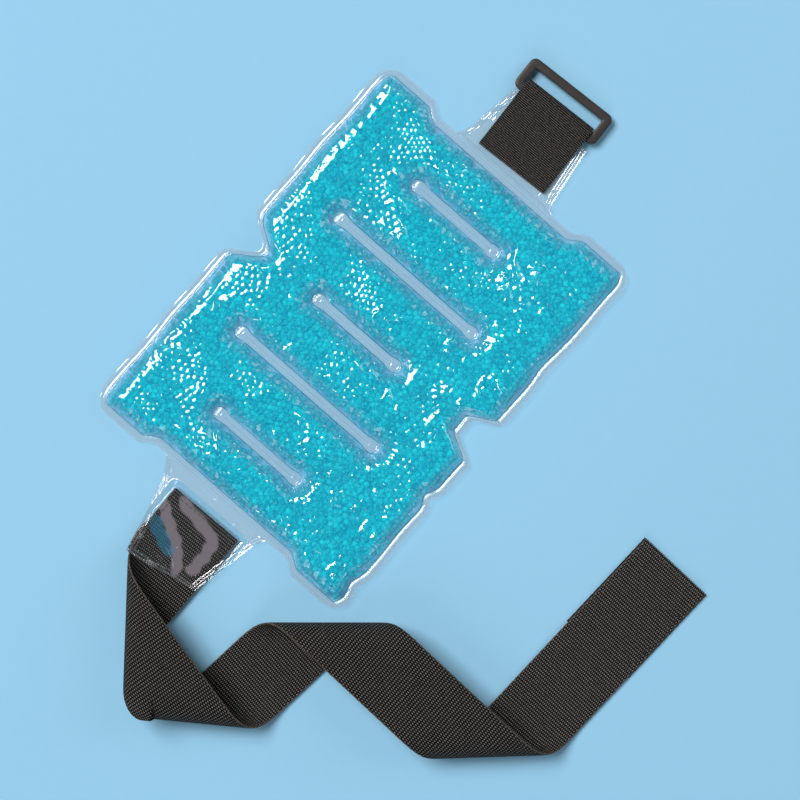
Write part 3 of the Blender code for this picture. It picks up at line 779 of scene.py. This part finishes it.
# %% [markdown]
# ## Gel beads
# A bead is a small sphere of 32 faces, and about ten thousand of them fill the pad in up to three layers.
# All beads of a stretch are computed together: the sphere's points times each radius, plus each centre.
# Near a weld only one layer fits, and the beads there are given a paler colour.

# %% Beads
BEAD_GAP = 0.00012
LAYER_EDGE, LAYER_STEP = 0.002, 0.82
PALE_FROM, PALE_RUN = 0.0035, 0.0060


def repeated_faces(count, size, quads, caps):
    """Faces of many copies of one shape; every copy has its own run of size points."""
    offset = (np.arange(count) * size)[:, None, None]
    return (quads[None] + offset).reshape(-1, 4).tolist() + (caps[None] + offset).reshape(-1, 3).tolist()


def unit_sphere(around=8, rings=3):
    """Points and faces of a sphere: rings of equal angles between two poles."""
    tilt = math.pi * np.arange(1, rings + 1) / (rings + 1)
    turn = 2.0 * math.pi * np.arange(around) / around
    body = np.stack([
        np.outer(np.sin(tilt), np.cos(turn)), np.outer(np.sin(tilt), np.sin(turn)),
        np.repeat(np.cos(tilt)[:, None], around, axis=1),
    ], axis=-1).reshape(-1, 3)
    index = np.arange(around * rings).reshape(rings, around)
    ahead = np.roll(index, -1, axis=1)
    quads = np.stack([index[:-1], index[1:], ahead[1:], ahead[:-1]], axis=-1).reshape(-1, 4)
    north, south = around * rings, around * rings + 1
    caps = np.concatenate([
        np.stack([np.full(around, north), index[0], ahead[0]], axis=-1),
        np.stack([np.full(around, south), ahead[-1], index[-1]], axis=-1),
    ])
    return np.concatenate([body, [[0.0, 0.0, 1.0], [0.0, 0.0, -1.0]]]), quads, caps


def envelope_normals(px, py):
    """Upward normals of the film's smooth height, from small steps either way."""
    step = 0.0004
    slope_x = (film_height(px + step, py) - film_height(px - step, py)) / (2.0 * step)
    slope_y = (film_height(px, py + step) - film_height(px, py - step)) / (2.0 * step)
    size = np.sqrt(1.0 + slope_x**2 + slope_y**2)
    return np.stack([-slope_x / size, -slope_y / size, 1.0 / size], axis=-1)


def bead_layer(px, py, layer):
    """Centres, radii, tints and paleness of one layer; beads are pushed in along the film's normal."""
    keep = weld_distance(px, py) > BEAD_EDGE + LAYER_EDGE * layer
    px, py = px[keep], py[keep]
    room = film_height(px, py) - belly_height(px, py)
    radius = np.minimum(BEAD_RADIUS * rng.uniform(0.93, 1.03, px.shape), 0.46 * room)
    normal = envelope_normals(px, py)
    surface = np.stack([px + PAD_X, py + PAD_Y, film_height(px, py)], axis=-1)
    centre = surface - normal * (radius + BEAD_GAP)[:, None]
    centre[:, 2] -= layer * LAYER_STEP * BEAD
    lowest = belly_height(px, py) + radius + 0.0002
    fits = centre[:, 2] >= lowest - (0.5 * BEAD_RADIUS if layer else BEAD)
    centre[:, 2] = np.maximum(centre[:, 2], lowest)
    tint = np.clip(rng.normal(0.42, 0.28, px.shape), 0.0, 1.0)
    near_weld = 1.0 - smoothstep((weld_distance(px, py) - PALE_FROM) / PALE_RUN)
    pale = rng.uniform(0.5, 1.0, px.shape) * near_weld
    return centre[fits], radius[fits], tint[fits], pale[fits]


layers = [bead_layer(top_x[top_held], top_y[top_held], 0)]
for layer in (1, 2):
    shift = layer * BEAD / 2.0
    places = lattice_places(shift, shift / math.sqrt(3.0))
    layers.append(bead_layer(*[place.ravel() for place in places], layer))
centres, radii, tints, pales = [np.concatenate(values) for values in zip(*layers)]
ball, ball_quads, ball_caps = unit_sphere()
edges = [-1.0] + [column_x[cut] for cut in cuts[1:-1]] + [1.0]
for fold in range(1, SEGMENTS):
    inside = (centres[:, 0] >= edges[fold - 1]) & (centres[:, 0] < edges[fold])
    centre, radius = centres[inside], radii[inside]
    shares = {"tint": np.repeat(tints[inside], len(ball)), "pale": np.repeat(pales[inside], len(ball))}
    points = (centre[:, None] + ball[None] * radius[:, None, None]).reshape(-1, 3)
    faces = repeated_faces(len(centre), len(ball), ball_quads, ball_caps)
    beads = make_piece(f"gel_beads_{fold}", points, faces, [gel], shares=shares)
    bend_at(beads)
    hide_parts(*[f"gel_fill_{k}" for k in stands_for(fold)])
    print(beads.name, len(centre), "beads")

# %% [markdown]
# ## The strap's path
# A flat strip can only roll, never stretch, so each turn is a fold rolled about a slanting line.
# The folds are applied last first, which keeps every earlier part of the strip in place.
# The first stretch lies in the pocket and the last one, with its hook patch, flat on the table.

# %% Strap path
STRAP_WIDTH, STRAP_LENGTH = 0.050, 0.575
STRAP_STATIONS, HEM_STATIONS, HOOK_STATIONS = 107, 8, 13
STRAP_THICK = 0.0014
STRAP_START = (-0.1207, -0.0006, 0.0033)
STRAP_HEADING = math.radians(181.04)
ROLL_STEPS = 64
# Each fold: distance along the strap, angle of its normal to the strap, length of its roll, turn
STRAP_FOLDS = (
    (0.04262, math.radians(-51.90), 0.04973, math.radians(179.70)),
    (0.13203, math.radians(41.54), 0.05269, math.radians(178.75)),
    (0.23629, math.radians(47.01), 0.05163, math.radians(180.98)),
    (0.37427, math.radians(45.05), 0.05136, math.radians(180.21)),
)
STRAP_STEP = 0.0011
SELVAGE_FROM = 0.97
HEM_LENGTH = HEM_STATIONS * STRAP_LENGTH / STRAP_STATIONS
HOOK_LENGTH = HOOK_STATIONS * STRAP_LENGTH / STRAP_STATIONS


def roll_profile(share, length, turn):
    """Place and height along a roll whose slope grows smoothly from 0 to the turn, summed in steps."""
    steps = np.linspace(0.0, 1.0, ROLL_STEPS + 1)
    slope = turn * smoothstep(steps)
    ahead, above = [
        np.concatenate([[0.0], np.cumsum(0.5 * (wave(slope[1:]) + wave(slope[:-1])))]) * length / ROLL_STEPS
        for wave in (np.cos, np.sin)
    ]
    return np.interp(share, steps, ahead), np.interp(share, steps, above), ahead[-1], above[-1]


def lay_strip(along, across):
    """Rolls the flat strip at each fold, last fold first, and lays it down from the pocket."""
    x, y, z = along.copy(), across.copy(), np.zeros_like(along)
    for start, angle, length, turn in reversed(STRAP_FOLDS):
        cos_a, sin_a = math.cos(angle), math.sin(angle)
        flat = (along - start) * cos_a + across * sin_a
        normal = (x - start) * cos_a + y * sin_a
        beside = -(x - start) * sin_a + y * cos_a
        ahead, above, end_ahead, end_above = roll_profile(np.clip(flat / length, 0.0, 1.0), length, turn)
        far = end_ahead + (normal - length) * math.cos(turn) - z * math.sin(turn)
        far_z = end_above + (normal - length) * math.sin(turn) + z * math.cos(turn)
        rolling = (flat > 0.0) & (flat < length)
        new_normal = np.where(flat <= 0.0, normal, np.where(rolling, ahead, far))
        z = np.where(flat <= 0.0, z, np.where(rolling, above, far_z))
        x = start + new_normal * cos_a - beside * sin_a
        y = new_normal * sin_a + beside * cos_a
    cos_h, sin_h = math.cos(STRAP_HEADING), math.sin(STRAP_HEADING)
    place_x = STRAP_START[0] + x * cos_h - y * sin_h
    place_y = STRAP_START[1] + x * sin_h + y * cos_h
    return np.stack([place_x, place_y, z + STRAP_START[2]], axis=-1)


def strip_normal(along, across):
    """Unit normal of the laid strip, from small steps along and across it."""
    step = 0.0002
    tangent = lay_strip(along + step, across) - lay_strip(along - step, across)
    width = lay_strip(along, across + step) - lay_strip(along, across - step)
    return unit(np.cross(tangent, width))


print("strap", STRAP_LENGTH, "long with", len(STRAP_FOLDS), "folds")

# %% [markdown]
# ## Strap, hem and hook patch
# Each layer is a closed sheet that follows the strip's path: two faces, moved along the path's normal.
# The long edges are drawn thinner and a little uneven, as a knitted selvage is.

# %% Strap pieces
# Where the pocket's film clings to the cloth: half-width, then the places along and across on a bent line
CLING_BANDS = (
    (0.0035, ((0.0116, -0.0249), (0.0178, -0.0157), (0.0251, -0.0030), (0.0341, 0.0054), (0.0385, 0.0072))),
    (0.0037, (
        (0.0032, -0.0150), (0.0058, -0.0038), (0.0072, 0.0064), (0.0106, 0.0142), (0.0205, 0.0156),
        (0.0318, 0.0151),
    )),
)
WET_PATCH = ((0.0042, ((0.0240, -0.0205), (0.0285, -0.0110), (0.0322, -0.0040))),)


def clinging(along, across, bands):
    """1 inside the bands and 0 outside, through a smooth step of the distance to each bent line."""
    best = np.zeros_like(along)
    for half, line in bands:
        for (a, b), (c, d) in zip(line[:-1], line[1:]):
            share = ((along - a) * (c - a) + (across - b) * (d - b)) / ((c - a) ** 2 + (d - b) ** 2)
            share = np.clip(share, 0.0, 1.0)
            away = np.hypot(along - a - share * (c - a), across - b - share * (d - b))
            uneven = 0.0006 * np.sin(along * 700.0 + across * 300.0)
            best = np.maximum(best, smoothstep((half + uneven - away) / 0.0012 + 0.5))
    return best


def cross_shares(count):
    """Places across a band from -1 to 1, crowded toward both edges: the sine of even steps."""
    return np.sin(0.5 * math.pi * np.linspace(-1.0, 1.0, count))


def edge_taper(share, thin, power):
    """Thickness across a band: full in the middle, falling to thin at the edges along an oval."""
    return thin + (1.0 - thin) * np.sqrt(np.clip(1.0 - np.abs(share) ** power, 0.0, 1.0))


def strip_layer(name, first, last, offset, thickness, materials, overhang=0.0):
    """A layer between two places on the strap, with tapered edges and a slightly uneven selvage."""
    along_line = np.linspace(first, last, int((last - first) / STRAP_STEP) + 2)
    half = 0.5 * STRAP_WIDTH + overhang
    along, share = np.meshgrid(along_line, cross_shares(57), indexing="ij")
    ragged = 0.00012 * np.sin(along * 3300.0) * np.sin(along * 1270.0 + share)
    across = half * share + ragged * share**8
    middle, normal = lay_strip(along, across), strip_normal(along, across)
    taper = edge_taper(share, 0.35, 24)
    lift = (0.5 * thickness * taper)[..., None] * normal
    centre = middle + normal * offset
    points = np.concatenate([(centre + lift).reshape(-1, 3), (centre - lift).reshape(-1, 3)])
    faces, sides = shell_faces(*along.shape)
    edge = np.abs(share[:-1, :-1] + share[1:, 1:]).ravel() > 2.0 * SELVAGE_FROM
    slots = sides.copy()
    slots[: 2 * edge.size][np.concatenate([edge, edge])] = 2
    uv = np.stack([along, across], axis=-1).reshape(-1, 2)
    shares = {
        label: np.tile(clinging(along, across, bands).ravel(), 2)
        for label, bands in (("cling", CLING_BANDS), ("wet", WET_PATCH))
    }
    uv = np.concatenate([uv, uv])
    return make_piece(name, points, faces, materials, uv=uv, shares=shares, slots=slots)


HOOK_THICK, HOOK_OVERHANG = 0.0011, 0.0007
layer_gap = 0.5 * STRAP_THICK + 0.0002
hem_offset, hook_offset = -layer_gap - 0.5 * STRAP_THICK, -layer_gap - 0.00055
strap = strip_layer("elastic_band", 0.0, STRAP_LENGTH, 0.0, STRAP_THICK, [ribbed, plush, selvage])
hem = strip_layer("hem_fold", 0.0, HEM_LENGTH, hem_offset, STRAP_THICK, [plush, ribbed, selvage])
patch = strip_layer(
    "hook_patch_tape", STRAP_LENGTH - HOOK_LENGTH, STRAP_LENGTH, hook_offset, HOOK_THICK,
    [hook_tape, hook_tape, hook_tape], overhang=HOOK_OVERHANG,
)
for piece, node, slot_name in (
    (strap, "elastic_strap", "elastic"), (hem, "strap_hem", "elastic"), (patch, "hook_patch", "hook"),
):
    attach(piece, "strap_tab")
    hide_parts(node)
    print(piece.name, len(piece.data.polygons), "faces")

# %% [markdown]
# ## Stitches
# A sewing machine leaves short bars of thread with a small gap between them.
# Each bar is the same sphere drawn out long and thin, laid along the outline and sunk into the cloth.

# %% Stitches
STITCH_INSET = 0.0030
STITCH_PITCH = 0.0033
STITCH_BAR = 0.0022
STITCH_THICK = 0.00050
STITCH_LIFT = 0.00012


def stitch_line(name, first, last, node):
    """Bars round a rectangle on the strap's upper face, each turned along its side."""
    half = 0.5 * STRAP_WIDTH - STITCH_INSET
    corners = np.array([(first, -half), (last, -half), (last, half), (first, half), (first, -half)])
    runs, headings = [], []
    for a, b in zip(corners[:-1], corners[1:]):
        count = int(np.linalg.norm(b - a) / STITCH_PITCH)
        share = (np.arange(count) + 0.5) / count
        runs.append(a + (b - a) * share[:, None])
        headings.append(np.tile((b - a) / np.linalg.norm(b - a), (count, 1)))
    flat, heading = np.concatenate(runs), np.concatenate(headings)
    along, across = flat[:, 0], flat[:, 1]
    normal = strip_normal(along, across)
    tip = lay_strip(along + heading[:, 0] * 0.0003, across + heading[:, 1] * 0.0003)
    place = lay_strip(along, across)
    forward = unit(tip - place)
    side = np.cross(normal, forward)
    sphere, quads, caps = unit_sphere(around=6, rings=5)
    bar = sphere[:, [2, 0, 1]]
    scale = (0.5 * STITCH_BAR, 0.5 * STITCH_THICK, 0.4 * STITCH_THICK)
    centre = place + normal * (0.5 * STRAP_THICK + STITCH_LIFT)
    points = (
        centre[:, None] + bar[None, :, :1] * scale[0] * forward[:, None]
        + bar[None, :, 1:2] * scale[1] * side[:, None] + bar[None, :, 2:] * scale[2] * normal[:, None]
    ).reshape(-1, 3)
    faces = repeated_faces(len(flat), len(bar), quads, caps)
    uv = np.repeat(flat, len(bar), axis=0) + np.tile(bar[:, :2] * 0.001, (len(flat), 1))
    piece = make_piece(name, points, faces, [thread], uv=uv)
    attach(piece, "strap_tab")
    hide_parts(node)
    print(piece.name, len(flat), "stitches")


hook_start = STRAP_LENGTH - HOOK_LENGTH
stitch_line("hem_stitches", STITCH_INSET, HEM_LENGTH - STITCH_INSET, "hem_stitching")
stitch_line("hook_stitches", hook_start + STITCH_INSET, STRAP_LENGTH - STITCH_INSET, "hook_stitching")

# %% [markdown]
# ## Film tabs
# At both ends the two films run on past the pad and are welded together along slightly raised lines.
# The buckle tab is almost flat. The pocket at the other end stands over the strap like a low tent,
# and its film clings to the cloth, so its height follows the strap below it.

# %% Tab films
BUCKLE_ROOT = joint_place["buckle_tab_flex"][0] - 0.0002
POCKET_ROOT = joint_place["strap_tab_flex"][0] + 0.0002
TAB_LENGTH, TAB_ROOT_HALF, TAB_TIP_HALF = 0.0445, 0.0345, 0.0290
TAB_MID_Z = 0.00245
TAB_WALL = 0.00042
TAB_DROP, POCKET_DROP = 0.0045, 0.009
POCKET_LENGTH = 0.055
LINE_INSET = 0.0040
SIDE_LINES, SIDE_LINE_WIDTH = (LINE_INSET, LINE_INSET - 0.0017, 0.0003), 0.00042
TIP_LINES, TIP_LINE_WIDTH = (0.0004, 0.0024), 0.00045
ROOT_LINE, ROOT_LINE_WIDTH = 0.0016, 0.00040


def tab_place(root, length, upper_edge, lower_edge, skew, columns=130, rows=160):
    """A grid from the root outward; its edges are functions of the share of the tab's length."""
    share = np.linspace(0.0, 1.0, columns)
    along, across = np.meshgrid(share, np.linspace(-1.0, 1.0, rows), indexing="ij")
    top, bottom = upper_edge(share)[:, None], lower_edge(share)[:, None]
    y = 0.5 * (top + bottom) + 0.5 * (top - bottom) * across
    x = root + (length + skew * across) * along
    edge = np.minimum(top - y, y - bottom)
    return x, y, along, edge


def weld_lines(edge, from_tip):
    """Raised lines along the sides and across the tip, as bell curves of the distance to the edge."""
    sides = sum(bell(edge - inset, SIDE_LINE_WIDTH) for inset in SIDE_LINES)
    return np.maximum(sides, sum(bell(from_tip - inset, TIP_LINE_WIDTH) for inset in TIP_LINES))


def crumple(x, y, size):
    """Slow puckers of loose film, the sum of crossing waves."""
    crossed = np.sin(x * 410.0 + 2.4 * np.sin(y * 190.0)) * np.sin(y * 300.0 + x * 160.0)
    return size * (crossed + 0.6 * np.sin((x + y) * 520.0))


def film_sheet(name, x, y, upper_z, lower_z, line, clear, nodes):
    """A closed film between two heights, milky except where clear; the nodes it replaces are hidden."""
    points = np.concatenate([np.stack([x, y, z], axis=-1).reshape(-1, 3) for z in (upper_z, lower_z)])
    faces, sides = shell_faces(*x.shape)
    if x[-1, 0] < x[0, 0]:
        faces = [face[::-1] for face in faces]
    slots = np.where(sides < 2, 1, 0)
    slots[sides < 2] -= np.tile(clear[1:, 1:].ravel(), 2)
    shares = {"line": np.concatenate([line.ravel(), np.zeros(line.size)])}
    piece = make_piece(name, points, faces, [film, welded], shares=shares, slots=slots)
    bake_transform(piece)
    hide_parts(*nodes)
    return piece


def flared_edge(side, root, tip, power, length, flare, run):
    """A tab's edge as a function of the share of its length: from root to tip, with a flare at the root."""
    def edge_at(share):
        return side * (root + (tip - root) * share**power + flare * np.exp(-share * length / run))
    return edge_at


tab_edges = [
    flared_edge(side, TAB_ROOT_HALF, TAB_TIP_HALF, 1.3, TAB_LENGTH, 0.0045, 0.0040) for side in (1.0, -1.0)
]
x, y, along, edge = tab_place(BUCKLE_ROOT, TAB_LENGTH, *tab_edges, 0.0)
middle = WELD_Z + (TAB_MID_Z - WELD_Z) * smoothstep((x - BUCKLE_ROOT) / TAB_DROP)
fringe = smoothstep((np.abs(y - 0.001) - 0.5 * STRAP_WIDTH) / 0.0015)
clear_part = np.maximum(fringe, 1.0 - smoothstep((x - BUCKLE_ROOT - 0.001) / 0.003))
line = weld_lines(edge, TAB_LENGTH * (1.0 - along))
root_line = bell(x - BUCKLE_ROOT - ROOT_LINE, ROOT_LINE_WIDTH) * (edge > LINE_INSET - 0.0004)
line = np.maximum(line, root_line)
puckered = 0.00028 * line + crumple(x, y, 0.00020) * smoothstep(edge / 0.003)
tab_film = film_sheet(
    "buckle_tab_film", x, y, middle + TAB_WALL + puckered * clear_part, middle - TAB_WALL,
    0.75 * np.roll(line, 1, axis=1) * clear_part, np.zeros(line.shape, dtype=bool),
    ["buckle_tab_film_top", "buckle_tab_film_bottom"],
)

# %% Strap pocket
TENT_LIFT = 0.5 * STRAP_THICK + 0.0013
TENT_SLOPE, TENT_REST = 0.9, 0.0012


def tent_height(x, y):
    """Film drawn over the strap: the highest of the strap's top less a slope times the distance away."""
    along, across = np.meshgrid(
        np.linspace(0.0, HEM_LENGTH + 0.022, 46), np.linspace(-0.5, 0.5, 21) * STRAP_WIDTH, indexing="ij"
    )
    cloth = lay_strip(along, across).reshape(-1, 3)
    away = np.hypot(x.ravel()[:, None] - cloth[:, 0], y.ravel()[:, None] - cloth[:, 1])
    tents = cloth[:, 2] + TENT_LIFT - TENT_SLOPE * np.maximum(away - TENT_REST, 0.0)
    return np.max(tents, axis=1).reshape(x.shape)


pocket_edges = (
    flared_edge(1.0, 0.0385, 0.0215, 0.95, POCKET_LENGTH, 0.0050, 0.0050),
    flared_edge(-1.0, 0.0360, 0.0260, 1.1, POCKET_LENGTH, 0.0028, 0.0040),
)
x, y, along, edge = tab_place(POCKET_ROOT, -POCKET_LENGTH, *pocket_edges, -0.0035)
seam = WELD_Z + (0.0011 - WELD_Z) * smoothstep((POCKET_ROOT - x) / POCKET_DROP)
from_tip = POCKET_LENGTH * (1.0 - along)
tent = tent_height(x, y)
off_cloth = smoothstep((seam + 0.0016 - tent) / 0.0016)
upper_z = np.maximum(seam + TAB_WALL, tent)
line = weld_lines(edge, from_tip)
upper_z += 0.00040 * line + crumple(x, y, 0.00022) * off_cloth * smoothstep(edge / 0.004)
pocket = film_sheet(
    "strap_pocket_film", x, y, upper_z, seam - TAB_WALL, 0.7 * np.roll(line, 1, axis=1),
    (tent > seam + 0.0008) & (line < 0.35),
    ["pocket_film_top", "pocket_film_bottom"],
)
print("tabs", len(tab_film.data.polygons), len(pocket.data.polygons), "faces")

# %% [markdown]
# ## Webbing and ring
# A short piece of loop-pile webbing goes round the ring's near bar and closes over the tab film.
# The ring is moulded: a rounded rectangle whose bar has a nearly square section with soft edges.
# A superellipse gives that section, since a higher power makes its corners squarer.

# %% Webbing loop
RING_YAW = math.radians(3.0)
BAR_X, BAR_Y, BAR_Z = joint_place["ring_swing"]
RING_BAR, RING_THICK = 0.0054, 0.0042
RING_GAP, RING_CLEARANCE = 0.0108, 0.0014
RING_INNER_CORNER, RING_OUTER_CORNER = 0.0007, 0.0042
LOOP_SLACK, LEAF_SLOPE = 0.00195, 0.016
WEBBING_START = BUCKLE_ROOT + 0.0057
OVER_FILM = 0.0042
CURL, CURL_RUN = 0.0011, 0.008


def turned(points):
    """Turns points by the ring's yaw about its bar."""
    cos_y, sin_y = math.cos(RING_YAW), math.sin(RING_YAW)
    dx, dy = points[..., 0] - BAR_X, points[..., 1] - BAR_Y
    x, y = BAR_X + dx * cos_y - dy * sin_y, BAR_Y + dx * sin_y + dy * cos_y
    return np.stack([x, y, points[..., 2]], axis=-1)


def webbing_path():
    """Along the table, half round the bar, down a smooth slope and back over the film, in even steps."""
    radius = BAR_Z - 0.5 * STRAP_THICK
    arc_x = BAR_X + LOOP_SLACK
    turn = np.linspace(0.0, math.pi, 33)[1:]
    share = np.linspace(0.0, 1.0, 25)
    slope_end = BAR_X - 0.5 * RING_BAR - 0.0003
    top = BAR_Z + radius
    under = np.stack([np.linspace(WEBBING_START, arc_x, 30), np.full(30, 0.5 * STRAP_THICK)], axis=1)
    arc = np.stack([arc_x + radius * np.sin(turn), BAR_Z - radius * np.cos(turn)], axis=1)
    slope_z = top + (OVER_FILM - top) * smoothstep(share)
    slope = np.stack([slope_end - LEAF_SLOPE * share, slope_z], axis=1)
    flat_x = np.linspace(slope_end - LEAF_SLOPE, WEBBING_START, 22)[1:]
    path = np.concatenate([under, arc, slope, np.stack([flat_x, np.full(len(flat_x), OVER_FILM)], axis=1)])
    gone = np.concatenate([[0.0], np.cumsum(np.linalg.norm(np.diff(path, axis=0), axis=1))])
    even = np.linspace(0.0, gone[-1], 150)
    return np.stack([np.interp(even, gone, path[:, 0]), np.interp(even, gone, path[:, 1])], axis=1), even


path, gone = webbing_path()
tangent = unit(np.gradient(path, axis=0))
inward = np.stack([-tangent[:, 1], tangent[:, 0]], axis=1)
along, share = np.meshgrid(gone, cross_shares(49), indexing="ij")
ragged = 0.00022 * np.sin(along * 4100.0) * np.sin(along * 1730.0 + 2.0 * share)
across = 0.5 * STRAP_WIDTH * share + ragged * share**10
taper = edge_taper(share, 0.4, 20)
near_end = smoothstep((gone - gone[-1] + CURL_RUN) / CURL_RUN)[:, None]
lifted = CURL * smoothstep((share - 0.7) / 0.3) * near_end
two_sides = []
for side in (1.0, -1.0):
    x = path[:, 0][:, None] + side * 0.5 * STRAP_THICK * taper * inward[:, 0][:, None]
    z = path[:, 1][:, None] + side * 0.5 * STRAP_THICK * taper * inward[:, 1][:, None] + lifted
    two_sides.append(turned(np.stack([x, across + BAR_Y, z], axis=-1)).reshape(-1, 3))
faces, _ = shell_faces(*along.shape)
uv = np.stack([along, across], axis=-1).reshape(-1, 2)
webbing = make_piece(
    "pile_webbing", np.concatenate(two_sides), faces, [loop_pile], uv=np.concatenate([uv, uv])
)
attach(webbing, "buckle_tab")
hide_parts("webbing_loop")
print("webbing", round(float(gone[-1]), 4), "long")

# %% Ring
def rounded_rectangle(half_x, half_y, radius, arc_steps=10, side_steps=14):
    """A closed line: four quarter arcs, each followed by the straight side to the next arc."""
    corners = np.array([(1.0, 1.0), (-1.0, 1.0), (-1.0, -1.0), (1.0, -1.0)])
    corners = corners * (half_x - radius, half_y - radius)
    turn = 0.5 * math.pi * (np.arange(4)[:, None] + np.linspace(0.0, 1.0, arc_steps)[None])
    arcs = corners[:, None] + radius * np.stack([np.cos(turn), np.sin(turn)], axis=-1)
    share = np.linspace(0.0, 1.0, side_steps)[1:-1, None, None]
    ends, starts = arcs[None, :, -1], np.roll(arcs, -1, axis=0)[None, :, 0]
    joins = (ends * (1.0 - share) + starts * share).swapaxes(0, 1)
    return np.concatenate([arcs, joins], axis=1).reshape(-1, 2)


def ring_points(section=28, power=6.0):
    """A superellipse section, |x|^p + |y|^p = 1, spanning the ring from its inner to its outer line."""
    half_x, half_y = 0.5 * RING_GAP, 0.5 * (STRAP_WIDTH + RING_CLEARANCE)
    inner = rounded_rectangle(half_x, half_y, RING_INNER_CORNER)
    outer = rounded_rectangle(half_x + RING_BAR, half_y + RING_BAR, RING_OUTER_CORNER)
    angle = 2.0 * math.pi * np.arange(section) / section
    wide = np.sign(np.cos(angle)) * np.abs(np.cos(angle)) ** (2.0 / power)
    tall = np.sign(np.sin(angle)) * np.abs(np.sin(angle)) ** (2.0 / power)
    flat = inner[:, None] + (outer - inner)[:, None] * (0.5 + 0.5 * wide)[None, :, None]
    z = np.broadcast_to(BAR_Z + 0.5 * RING_THICK * tall, flat.shape[:2])
    centre_x = BAR_X + 0.5 * (RING_GAP + RING_BAR)
    return turned(np.stack([flat[..., 0] + centre_x, flat[..., 1] + BAR_Y, z], axis=-1))


def build_ring_piece():
    points = ring_points()
    index = np.arange(points[..., 0].size).reshape(points.shape[:2])
    index = np.concatenate([index, index[:1]])
    index = np.concatenate([index, index[:, :1]], axis=1)
    ring = make_piece("strap_ring", points.reshape(-1, 3), grid_quads(index)[:, ::-1].tolist(), [plastic])
    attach(ring, "ring")
    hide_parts("ring_buckle")
    return ring


print("ring", len(build_ring_piece().data.polygons), "faces")

# %% [markdown]
# ## Table and light
# A plain pale blue table, one soft key light from the upper left, two weaker fill lights low at the other
# sides, and a faint pale sky. The key is far enough away to light the table evenly, and large enough to
# soften the shadows. The table lies a hair below the wrap, so that no two faces share one height.

# %% Table, lights and world
KEY_DISTANCE = 6.0
KEY_HEIGHT_ANGLE = math.radians(58.0)
KEY_TURN = math.radians(93.0)
KEY_SIZE, KEY_POWER, KEY_COLOUR = 3.0, 345.0, (1.0, 0.99, 0.97)
FILL_TURNS = (math.radians(215.0), math.radians(330.0))
FILL_HEIGHT_ANGLE = math.radians(32.0)
FILL_SIZE, FILL_POWER, FILL_COLOUR = 3.5, 60.0, (0.95, 0.98, 1.0)
SKY_COLOUR, SKY_STRENGTH = (0.93, 0.97, 1.0, 1.0), 0.10
TABLE_DARK, TABLE_LIGHT = (0.310, 0.605, 0.835, 1.0), (0.322, 0.622, 0.852, 1.0)
TABLE_HALF, TABLE_Z = 3.0, -0.0002


def light_at(name, turn, height_angle, distance, size, power, colour):
    """An area light that looks at the frame's origin from a turn about Z and a height angle."""
    lamp = bpy.data.lights.new(name, "AREA")
    lamp.shape, lamp.size, lamp.energy, lamp.color = "SQUARE", size, power, colour
    holder = bpy.data.objects.new(name, lamp)
    level = math.cos(height_angle)
    away = np.array([level * math.cos(turn), level * math.sin(turn), math.sin(height_angle)])
    holder.matrix_world = (
        Matrix.Translation(away * distance) @ Matrix.Rotation(turn + 0.5 * math.pi, 4, "Z")
        @ Matrix.Rotation(0.5 * math.pi - height_angle, 4, "X")
    )
    bpy.context.scene.collection.objects.link(holder)
    print(name, "light,", power, "watts")


light_at("key", KEY_TURN, KEY_HEIGHT_ANGLE, KEY_DISTANCE, KEY_SIZE, KEY_POWER, KEY_COLOUR)
for number, turn in enumerate(FILL_TURNS):
    light_at(f"fill_{number}", turn, FILL_HEIGHT_ANGLE, KEY_DISTANCE, FILL_SIZE, FILL_POWER, FILL_COLOUR)

world = bpy.data.worlds.new("studio")
bpy.context.scene.world = world
world.use_nodes = True
sky = world.node_tree.nodes["Background"]
sky.inputs["Color"].default_value = SKY_COLOUR
sky.inputs["Strength"].default_value = SKY_STRENGTH

table_material, table_tree, table_shader = new_material("table", Roughness=0.9, Specular_IOR_Level=0.1)
table_grain = add(table_tree, "ShaderNodeGroup", {"Scale": 120.0}, node_tree=grain)
table_colour = mix_colour(table_tree, table_grain.outputs["Fine"], TABLE_DARK, TABLE_LIGHT)
table_tree.links.new(table_colour, table_shader.inputs["Base Color"])
corners = TABLE_HALF * np.array([(-1.0, -1.0), (1.0, -1.0), (1.0, 1.0), (-1.0, 1.0)])
table_points = np.column_stack([corners, np.full(4, TABLE_Z)])
table = make_piece("table", table_points, [[0, 1, 2, 3]], [table_material])
bpy.context.scene.view_settings.view_transform = "Standard"
